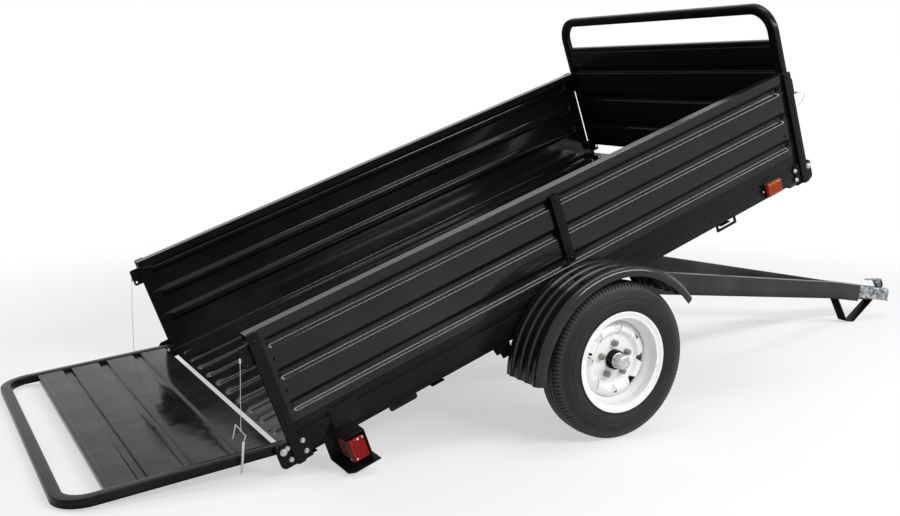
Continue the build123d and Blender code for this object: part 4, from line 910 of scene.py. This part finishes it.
# %% Round the frame's edges
FRAME_PIECES = {          # widths of the rounding, millimetres
    "side_rail_": 1.6, "posts_": 2.0, "latch_plates_": 0.8, "hinge_brackets_": 1.0, "leaf_spring_": 1.0,
    "spring_hangers_": 0.8, "pivot_hanger_": 1.0, "tail_light_bracket_": 0.9, "side_marker_base_": 1.0,
    "tie_loops_": 1.0,
}
for hand in ("left", "right"):
    for piece, width in FRAME_PIECES.items():
        rounded_copy(piece + hand, "bed", BLACK_TUBE, bed, width, 3)
    for piece, width in (("drawbar_leg_", 1.2), ("drawbar_eye_", 1.5)):
        rounded_copy(piece + hand, "drawbar", BLACK_DRAWBAR, drawbar, width, 3)
for node, body, place in (("cross_members", "bed", bed), ("axle_beam", "bed", bed),
                          ("tongue_foot", "drawbar", drawbar)):
    rounded_copy(node, body, BLACK_TUBE, place, 1.0)

# %% Round the top rails
# they are glossy as the walls are, and only their square edges count as sharp, so their flats stay flat
for hand in ("left", "right"):
    rounded_copy("top_rail_" + hand, "bed", BLACK_SHEET, bed, 1.2, 2, sharp=60, angle=12)

# %% [markdown]
# ## Fenders
# A fender is one sheet pressed over a drum: three ridges run round it, and its outer edge rolls over into a
# deep lip. Its section is drawn once and spun about the arch's centre, then given its thickness.

# %% The fender's measures
FENDER_CENTRE_Z = -45.0
FENDER_SHEET = 2.0
FENDER_RADIUS = 370.0
FENDER_CROWN = 6.0                   # how far the roll stands above the flat
FENDER_END_Z = 85.0
FENDER_FLANGE = 20.0                 # inner edge, turned down beside the wall
FENDER_RIDGE_FOOT = 12.0             # half widths of a ridge
FENDER_RIDGE_CREST = 4.0
FENDER_RIDGE_RISE = 5.0
FENDER_RIDGE_PITCH = 44.0
FENDER_BEND = 6.0
FENDER_ROLL = 46.0
FENDER_LIP = 34.0
ROLL_STEPS = 8
FENDER_STEPS = 64
POST_FACE = 707.5
FENDER_GAP = 3.5
fender_outer = extent("fender_left", bed)[1].y
fender_inner = POST_FACE + FENDER_GAP
print("fender from", round(fender_inner, 1), "to", round(fender_outer, 1), "mm off the centre plane")


# %% Press the fenders
def fender():
    flat, roll = FENDER_RADIUS - FENDER_CROWN, FENDER_ROLL / 2
    edge = fender_outer - FENDER_ROLL
    line = [(flat - FENDER_FLANGE, fender_inner), (flat, fender_inner)]
    for i in (2, 1, 0):
        y = edge - 2 * FENDER_RIDGE_FOOT - FENDER_RIDGE_RISE / 2 - i * FENDER_RIDGE_PITCH
        line += [(flat, y - FENDER_RIDGE_FOOT), (flat + FENDER_RIDGE_RISE, y - FENDER_RIDGE_CREST),
                 (flat + FENDER_RIDGE_RISE, y + FENDER_RIDGE_CREST), (flat, y + FENDER_RIDGE_FOOT)]
    line = [tuple(p)[:2] for p in rounded([(r, y, 0) for r, y in line + [(flat, edge)]], FENDER_BEND)]
    for k in range(1, ROLL_STEPS + 1):       # up to the crown
        share = k / ROLL_STEPS
        line.append((flat + FENDER_CROWN * sin(share * pi / 2) ** 2, edge + roll * share))
    for k in range(1, ROLL_STEPS + 1):       # over, and down into the lip
        around = k / ROLL_STEPS * pi / 2
        line.append((FENDER_RADIUS - roll * (1 - cos(around)), fender_outer - roll + roll * sin(around)))
    line.append((FENDER_RADIUS - FENDER_LIP, fender_outer))
    angle = asin((FENDER_END_Z - FENDER_CENTRE_Z) / FENDER_RADIUS)
    sheet = trace("fender", [(r * cos(angle), y, FENDER_CENTRE_Z + r * sin(angle)) for r, y in line])
    pick(sheet, "EDGE")
    bpy.ops.mesh.spin(steps=FENDER_STEPS, angle=pi - 2 * angle, center=(0, 0, FENDER_CENTRE_Z), axis=OUT)
    bpy.ops.mesh.select_all(action="SELECT")
    bpy.ops.mesh.remove_doubles(threshold=0.01)
    return thicken(sheet, (0, 0, 1), FENDER_SHEET)


both_sides(fender(), "fender_{}_sheet", "bed", BLACK_FENDER, 35, "fender_{}")

# %% [markdown]
# ## Tyres
# The tyre's section is spun in as many steps as it has tread blocks. Each step is split in two, a block and
# a narrow groove, and the groove's faces are pushed in, which is how a mould's blades cut a tread.

# %% The tyre's measures
TYRE_MIDDLE = 837.0                  # the tread's middle, from the centre plane
TREAD_BLOCKS = 120
GROOVE_SHARE = 0.26
GROOVE_DEPTH = 0.975                 # radius of a groove's floor, as a share of the tread's
# radius and distance from the middle, from the bead over the wall to the middle of the tread
TYRE_WALL = [
    (153, 50), (160, 50.5), (170, 51.5), (174.5, 52.5), (177, 54.5), (178.5, 57.2), (181, 58.0), (183, 57.2),
    (186, 58.6), (192, 60.4), (199, 61.8), (204, 62.5), (211, 62.5), (213, 61.6), (215, 62.3), (222, 61.8),
    (230, 60.4), (238, 58.0), (246, 54.4), (252, 51.2), (256, 49.6)]
TREAD = [
    (258.5, 49.0), (262.5, 45.5), (266.5, 41.5), (269.2, 37.0), (270.4, 31.5), (262.8, 30.6), (262.8, 27.0),
    (271.0, 26.0), (271.8, 16.0), (272.2, 12.4), (264.0, 11.4), (264.0, 7.6), (272.6, 6.6), (273.0, 0.0)]
print("tyre section:", len(TYRE_WALL + TREAD), "points, radius", TREAD[-1][0], "mm")


# %% Spin the tyres
def tyre():
    half = TYRE_WALL + TREAD
    line = [(0, TYRE_MIDDLE + out, radius) for radius, out in half]
    line += [(0, TYRE_MIDDLE - out, radius) for radius, out in reversed(half[:-1])]
    piece = trace("tyre", line)
    step = 2 * pi / TREAD_BLOCKS
    edge = step * (1 - GROOVE_SHARE)
    pick(piece, "EDGE")
    for angle in (edge, step - edge):
        bpy.ops.mesh.spin(steps=1, angle=-angle, center=(0, 0, 0), axis=OUT)
    done(piece)

    def in_groove(centre, normal):
        """The narrow step's faces on the tread's shoulder, above a line that falls away outwards."""
        around, radius = atan2(centre.x, centre.z) % (2 * pi), hypot(centre.x, centre.z)
        out = abs(centre.y - TYRE_MIDDLE)
        on_shoulder = 27.5 < out < 49.5 and radius > max(257, 264.5 - (out - 30) * 0.45)
        return edge < around < step and on_shoulder
    pick(piece, "FACE", in_groove)
    bpy.ops.mesh.extrude_region_move(TRANSFORM_OT_translate={"value": (0, 0, 0)})
    bpy.ops.transform.resize(value=(GROOVE_DEPTH, 1, GROOVE_DEPTH), center_override=(0, TYRE_MIDDLE, 0))
    pick(piece)
    bpy.ops.mesh.spin(steps=TREAD_BLOCKS - 1, dupli=True, angle=step - 2 * pi, center=(0, 0, 0), axis=OUT)
    done(piece)
    return closed(piece, 0.05)


both_sides(tyre(), "tyre_{}_treaded", "wheel_{}", RUBBER, 40, "tyre_{}")

# %% [markdown]
# ## Rims
# A rim is two pressings welded together: a rolled barrel that holds the tyre, and a disc with windows that
# make it lighter and holes for the lugs. Both are spun from a section. The windows and holes are cut out with
# solid bars, since a hole can't be drawn on a spun section, and a bevel softens every edge.

# %% Turn, cut and join
def spun(name, profile, steps=96):
    """A shape turned about the wheel's axis: profile holds the (radius, y) points of its outline."""
    piece = trace(name, [(radius, y, 0) for radius, y in profile + profile[:1]])
    pick(piece, "EDGE")
    bpy.ops.mesh.spin(steps=steps, angle=-2 * pi, center=(0, 0, 0), axis=OUT)
    return closed(piece)


def disc(name, centre, axis, radius, length, sides=32):
    """A short cylinder that starts at centre and runs along the axis."""
    only(None)
    axis = Vector(axis).normalized()
    bpy.ops.mesh.primitive_cylinder_add(vertices=sides, radius=radius, depth=length,
                                        location=Vector(centre) + axis * length / 2,
                                        rotation=axis.to_track_quat("Z", "Y").to_euler())
    piece = bpy.context.object
    bpy.ops.object.transform_apply()
    piece.name = name
    return piece


def join(name, pieces):
    """Joins several pieces into one."""
    only(pieces[0])
    for piece in pieces:
        piece.select_set(True)
    bpy.ops.object.join()
    pieces[0].name = name
    return pieces[0]


# %% The rim's measures
DISC_SHEET = 4.0
RIM_EDGE = 0.7                       # rounding of its edges
WINDOWS = 8
WINDOW = [(86, 0), (118.5, 21.5), (118.5, -21.5)]      # a triangle with its point to the hub
WINDOW_CORNER = 3.0
LUGS = 5
LUG_CIRCLE = 57.15                   # radius
LUG_HOLE = 6.75
LUG_FACE = 839.0
CUT_HALF = 40.0                      # how far the cutting bars reach each way from the tyre's middle
CUT_START, CUT_LENGTH = TYRE_MIDDLE - CUT_HALF, 2 * CUT_HALF
# radius and distance out from the tyre's middle, round the rolled barrel: its tyre side, then its open side
BARREL = [
    (174.6, 57.2), (171.5, 56), (168.5, 54), (166.8, 51.5), (153.6, 50.4), (152.6, 49), (152.4, 26), (150, 22),
    (139, 12), (136.4, 8), (136.4, -20), (139, -24), (152.4, -36), (152.4, -49), (164, -50), (167, -55),
    (172, -59), (174, -58),
    (174, -57), (168, -56), (163.5, -51.5), (160, -52.6), (150, -51), (149.2, -48), (149.2, -36.5),
    (135.6, -24.8), (133.2, -20.5), (133.2, 8.5), (135.6, 13), (146.8, 23.4), (149.2, 27.5), (149.2, 49.5),
    (151.4, 53), (160, 53.8), (164, 56), (168, 58.4), (172, 59), (174.6, 58.4)]
# radius and distance out from the lugs' face, over the front of the pressed disc
DISC_FRONT = [
    (135.2, -8), (131, 1), (125, 8), (118, 13), (110, 16.5), (104, 17.5), (98, 15.5), (92, 9.5), (86, 5),
    (82, 4), (70, 4), (44, 4), (38, 4.6), (34, 4)]
HIDDEN_POINTS = 5                    # the back of the disc is trimmed here, to stay inside the barrel
TRIM = 1.5


# %% Press the rims
def lug_place(i, out):
    """The place of one of the five lugs, at a distance from the centre plane."""
    around = i * 2 * pi / LUGS
    return Vector((LUG_CIRCLE * cos(around), out, LUG_CIRCLE * sin(around)))


def rim():
    barrel = spun("rim_barrel", [(radius, TYRE_MIDDLE + out) for radius, out in BARREL])
    front = [(radius, LUG_FACE + out) for radius, out in DISC_FRONT]
    back = [(radius - (TRIM if i < HIDDEN_POINTS else 0), y - DISC_SHEET)
            for i, (radius, y) in enumerate(front)]
    plate = spun("rim_disc", front + back[::-1])
    corners = [(radius, CUT_START, across) for radius, across in WINDOW]
    window = trace("window", rounded(corners, WINDOW_CORNER, loop=True), loop=True)
    pick(window, "EDGE")
    bpy.ops.mesh.extrude_region_move(TRANSFORM_OT_translate={"value": (0, CUT_LENGTH, 0)})
    bpy.ops.mesh.select_all(action="SELECT")
    bpy.ops.mesh.fill_holes(sides=0)
    closed(window)
    cutters = [twin(window, "window") for _ in range(WINDOWS - 1)] + [window]
    for i, cutter in enumerate(cutters):
        cutter.data.transform(Matrix.Rotation((i + 0.5) * 2 * pi / WINDOWS, 4, "Y"))
    cutters += [disc("lug_hole", lug_place(i, CUT_START), OUT, LUG_HOLE, CUT_LENGTH, 20) for i in range(LUGS)]
    cuts = join("rim_cuts", cutters)
    modify(plate, "BOOLEAN", operation="DIFFERENCE", object=cuts, solver="EXACT")
    bpy.data.objects.remove(cuts)
    return round_off(join("rim", [barrel, plate]), RIM_EDGE, 2, 50)


both_sides(rim(), "rim_{}_pressed", "wheel_{}", ENAMEL, 40, "rim_{}")

# %% [markdown]
# ## Bolts, rivets and screws
# The trailer is bolted together by its owner, so bright zinc heads sit beside the black sheets, and small
# rivets hold the walls to the posts and the rails. Each kind is modelled once, along +Y from the origin, and
# copied to its places, because a repeated part should be shaped only once.

# %% A head of each kind
def head_with_steps(name, base, radius, height, sides, *insets, both=False):
    """A short bar on a base, whose outer face is inset by (width, rise) steps; both does the inner face too."""
    head = disc(name, (0, base, 0), OUT, radius, height, sides)
    pick(head, "FACE", lambda centre, normal: (abs(normal.y) if both else normal.y) > 0.9)
    for width, rise in insets:
        bpy.ops.mesh.inset(thickness=width, depth=rise)
    return done(head)


def hex_bolt(radius, height, washer=1.6):
    """A hexagon head on a washer."""
    head = head_with_steps("bolt", washer, radius, height, 6, (radius * 0.12, radius * 0.06))
    plate = disc("washer", (0, 0, 0), OUT, radius * 1.28, washer, 20)
    return round_off(join("bolt", [head, plate]), 0.35, 1)


def dome_rivet(radius, height):
    """A low round head."""
    return head_with_steps("rivet", 0, radius, height, 14, (radius * 0.45, height * 0.5))


def screw(radius, height):
    """A pan head with a round recess."""
    return head_with_steps("screw", 0, radius, height, 16, (radius * 0.35, height * 0.3),
                           (radius * 0.3, -height * 0.5))


# %% Copy a head to its places
def scattered(name, pattern, spots, direction=OUT):
    """Copies a pattern to places, or to (place, direction) pairs, and joins the copies."""
    copies = []
    for spot in spots:
        place, facing = spot if isinstance(spot[0], Vector) else (spot, direction)
        aim = Vector(OUT).rotation_difference(Vector(facing)).to_matrix().to_4x4()
        copy = twin(pattern, name)
        copy.data.transform(Matrix.Translation(place) @ aim)
        copies.append(copy)
    bpy.data.objects.remove(pattern)
    return join(name, copies)


def on_face(y, spots):
    """Places on an upright face, from their (x, z)."""
    return [(x, y, z) for x, z in spots]


# %% Bolts and rivets on the bed
HINGE_FACE = 700.5
WALL_FACE = 695.5
KNUCKLE = 8.0            # how far the hinge's pin stands out of its bracket
RAIL_INSIDE = extent("top_rail_left", bed)[0].y
RAIL_RIVETS = 15
FIRST_RIVET = (-1085.0, 594.0)
RIVET_PITCH = 153.0
PLATE_BOLTS = ((-1112, 223), (-1112, 184), (-1060, 223), (-1060, 186), (1123, 224), (1123, 187))
POST_RIVETS = ((-1090, 581), (-1086.5, 300), (31, 560), (31, 345), (1168, 588), (1168, 330))
WALL_RIVETS = ((1112, 548), (1113, 439), (1115, 372), (1116, 322), (902, 242), (673, 200), (558, 200),
               (-420, 200), (-640, 200), (-985, 242), (-1045, 389), (-1045, 497))
hinge_pins = ((rear_hinge_x, hinge_height), (front_hinge_x, hinge_height))
rail_spots = [(FIRST_RIVET[0] + i * RIVET_PITCH, FIRST_RIVET[1]) for i in range(RAIL_RIVETS)]
for name, pattern, spots, direction, material, slot in (
    ("plate_bolts", hex_bolt(6.4, 4.6), on_face(HINGE_FACE, PLATE_BOLTS), OUT, ZINC, "zinc"),
    ("hinge_heads", hex_bolt(8.6, 4.4, 0.8), on_face(HINGE_FACE + KNUCKLE, hinge_pins), OUT, ZINC, "zinc"),
    ("post_rivets", dome_rivet(5.2, 2.8), on_face(POST_FACE, POST_RIVETS), OUT, BLACK_TUBE, "black_paint"),
    ("wall_rivets", dome_rivet(4.6, 2.4), on_face(WALL_FACE, WALL_RIVETS), OUT, BLACK_TUBE, "black_paint"),
    ("rail_rivets", dome_rivet(4.0, 2.2), on_face(RAIL_INSIDE, rail_spots), (0, -1, 0), BLACK_TUBE,
     "black_paint"),
):
    both_sides(scattered(name, pattern, spots, direction), name + "_{}", "bed", material)

# %% [markdown]
# ## Hubs and lug nuts
# A hub is a turned casting painted black, and its bearing is closed by a pressed, galvanised dust cap. Both
# are drawn as half a section and spun. Five nuts hold the rim, each with the end of its stud in it, and a
# short rubber valve leans out of the rim between two windows.

# %% Hubs, caps, nuts and valves
HUB = [
    (15.2, 762), (36, 762), (36, 827), (38, 830), (70, 830), (70, 838.4), (33.2, 838.4), (33.2, 861),
    (30.5, 864.6), (22, 864.6), (22, 850), (15.2, 850)]
DUST_CAP = [
    (0, 858), (24.6, 858), (24.8, 866), (26.6, 866.6), (27.2, 868), (26.6, 869.6), (25, 870.4), (24.6, 898.5),
    (23.8, 901.6), (21.8, 903.8), (19, 904.7), (12, 904.9), (10.5, 903.6), (0, 903.4)]
VALVE = [(0, 0), (5.5, 0), (5.5, 6), (3.6, 9), (3.6, 24), (4.2, 25), (4.2, 33), (3.4, 34.5), (0, 34.5)]
NUT_SEAT = 842.6
VALVE_ANGLE = radians(143)
VALVE_LEAN = radians(20)
VALVE_FOOT = (136, 843, 0)


def lug_nut():
    nut = head_with_steps("nut", 1.5, 11.6, 14.5, 6, (1.4, 1.0), both=True)
    stud = disc("stud", (0, 15, 0), OUT, 6.1, 5.5, 16)
    return round_off(join("nut", [nut, stud]), 0.5, 2)


both_sides(round_off(spun("hub", HUB), 0.8), "hub_casting_{}", "wheel_{}", BLACK_TUBE,
           stands_for="hub_{}")
both_sides(spun("cap", DUST_CAP, steps=64), "dust_cap_{}", "wheel_{}", GALVANISED)
both_sides(scattered("lug_nuts", lug_nut(), [lug_place(i, NUT_SEAT)[:] for i in range(LUGS)]),
           "lug_nuts_{}", "wheel_{}", YELLOW_ZINC)

valve = spun("valve", VALVE, steps=16)
valve.data.transform(Matrix.Rotation(-VALVE_ANGLE, 4, "Y") @ Matrix.Translation(VALVE_FOOT)
                     @ Matrix.Rotation(VALVE_LEAN, 4, "Z"))
both_sides(valve, "tyre_valve_{}", "wheel_{}", RUBBER)

# %% [markdown]
# ## Lights
# A tail light is a black tub with a lens on its rear and another on its side. Each lens is moulded with rows
# of small prisms, which is why it glitters. The prisms are real dents: a face is divided into a grid and
# each square is inset.

# %% A lens with moulded prisms
BEVEL_RISE = 0.7         # height of a lens's bevel, as a share of its width
PRISM_WALL = 0.9         # half of the wall between two prisms


def block(name, low, high):
    """A block between two corners."""
    only(None)
    low, high = Vector(low), Vector(high)
    bpy.ops.mesh.primitive_cube_add(size=1, location=(low + high) / 2, scale=high - low)
    piece = bpy.context.object
    bpy.ops.object.transform_apply()
    piece.name = name
    return piece


def prism_lens(low, high, facing, cuts, dent, bevel):
    """A lens block whose outer face is stepped in, divided and dented square by square."""
    facing = Vector(facing)
    lens = block("lens", low, high)

    def outermost(centre, normal):
        reach = max(vertex.co.dot(facing) for vertex in lens.data.vertices)
        return normal.dot(facing) > 0.98 and centre.dot(facing) > reach - 0.05
    pick(lens, "FACE", outermost)
    bpy.ops.transform.translate(value=-facing * bevel * BEVEL_RISE)
    bpy.ops.mesh.inset(thickness=bevel, depth=bevel * BEVEL_RISE)
    round_off(done(lens), 0.8, 2)
    pick(lens, "FACE", outermost)
    bpy.ops.mesh.subdivide(number_cuts=cuts)
    bpy.ops.mesh.inset(thickness=PRISM_WALL, depth=-dent, use_individual=True)
    return done(lens)


# %% Tail lights
low, high = Vector((-958, 696.2, 109)), Vector((-898, 784.5, 186))      # corners of the whole light
LIGHT_FRAME = 3.0          # the tub is lower than the lenses by this much, above and below
LIGHT_EDGE = 9.0           # how far a lens wraps round
tub = block("tub", low + Vector((LIGHT_EDGE, 0, LIGHT_FRAME)), high - Vector((0, LIGHT_EDGE, LIGHT_FRAME)))
both_sides(round_off(tub, 2.0, 3), "tail_light_tub_{}", "bed", BLACK_TUBE,
           stands_for="tail_light_{}")
# the rear lens takes the darker red, which is painted shade
rear_lens = prism_lens(low, (low.x + LIGHT_EDGE + 1, high.y - 7, high.z), (-1, 0, 0), 9, 1.0, 5.0)
both_sides(rear_lens, "tail_light_lens_{}", "bed", SHADED_RED_LENS)
side_lens = prism_lens((low.x + LIGHT_EDGE - 2, high.y - LIGHT_EDGE - 1, low.z + 1),
                       (high.x, high.y, high.z - 1), OUT, 9, 1.4, 5.0)
both_sides(side_lens, "side_light_lens_{}", "bed", RED_LENS)
SCREW_SINK = 2.4           # the screws' seats lie this far under the side lens's face
side_screws = on_face(high.y - SCREW_SINK, ((high.x - 8, high.z - 8), (low.x + 14, low.z + 9),
                                            (high.x - 24, high.z - 8)))
rear_screws = [(low.x + 2.6, high.y - 16, low.z + 9), (low.x + 2.6, low.y + 10, high.z - 9)]
spots = [(Vector(place), OUT) for place in side_screws]
spots += [(Vector(place), (-1, 0, 0)) for place in rear_screws]
both_sides(scattered("lens_screws", screw(3.4, 2.4), spots), "lens_screws_{}", "bed", ZINC)

# %% Side markers
marker_low, marker_high = extent("side_marker_left", bed)
MARKER_SCREWS = ((947, 207), (1041, 207))
both_sides(prism_lens(marker_low, marker_high, OUT, 7, 1.2, 7.0), "side_marker_lens_{}", "bed",
           AMBER_LENS, stands_for="side_marker_{}")
both_sides(scattered("marker_screws", screw(3.8, 3.0), on_face(WALL_FACE, MARKER_SCREWS)),
           "marker_screws_{}", "bed", ZINC)

# %% [markdown]
# ## Coupler, pins and other bright parts
# The coupler and the pins are zinc plated. Their shapes are right already, so copies with rounded edges take
# the bright finish, and the coupler gets its bolts.

# %% Coupler, lever and pins
COUPLER_FACE = 31.0        # from the centre plane
COUPLER_BOLTS = (2012, 2082, 2150)
BOLT_HEIGHT = 10.0
rounded_copy("coupler", "drawbar", PRESSED_ZINC, drawbar, 1.3, 3)
rounded_copy("coupler_lever", "drawbar", PRESSED_ZINC, drawbar, 1.2)
for hand in ("left", "right"):
    rounded_copy("latch_pin_front_" + hand, "bed", ZINC, bed, 0.8)
    rounded_copy("latch_pin_rear_" + hand, "bed", ZINC, Matrix.Scale(MM, 4), 0.3, 1, 40, 50)
spots = [(Vector((x, side * COUPLER_FACE, BOLT_HEIGHT)), (0, side, 0))
         for side in (1, -1) for x in COUPLER_BOLTS]
coupler_bolts = smooth(scattered("coupler_bolts", hex_bolt(7.5, 5.5, 1.8), spots), 30)
fit(coupler_bolts, "drawbar", DULL_STEEL, drawbar)
print("coupler bolts:", len(spots))

# %% [markdown]
# ## Two-tone pieces
# The hinges' bolts and the wires' crimps belong to black pieces but are plated. A second finish is given to
# their faces alone, picked by their place, so that each piece stays whole.

# %% Plate the bolts and crimps
def repaint(node, material, test):
    """Gives a second finish to the faces of a rounded copy whose middles pass the test."""
    piece = bpy.data.objects[node + "_rounded"]
    piece.data.materials.append(material)
    into = bed.inverted()
    faces = [face for face in piece.data.polygons if test(into @ face.center)]
    for face in faces:
        face.material_index = 1
    print(piece.name, "second finish on", len(faces), "faces")


GATE_INSIDE = 640.0        # the hinge's inner end, from the centre plane
CRIMP_REACH = 7.6
for hand, side in (("left", 1), ("right", -1)):
    across = Vector((1, side, 1))
    rear_crimp, front_crimp = REAR_CRIMP * across, (FRONT_CRIMP - Vector((CRIMP_HALF, 0, 0))) * across
    repaint("hinge_brackets_" + hand, ZINC, lambda p: abs(p.y) > HINGE_FACE + 0.4 or abs(p.y) < GATE_INSIDE)
    repaint("latch_plates_" + hand, ZINC,
            lambda p: (p - rear_crimp).length < CRIMP_REACH and p.x < rear_crimp.x + 3)
    repaint("posts_" + hand, ZINC,
            lambda p: (p - front_crimp).length < CRIMP_REACH and p.x > front_crimp.x - 1)
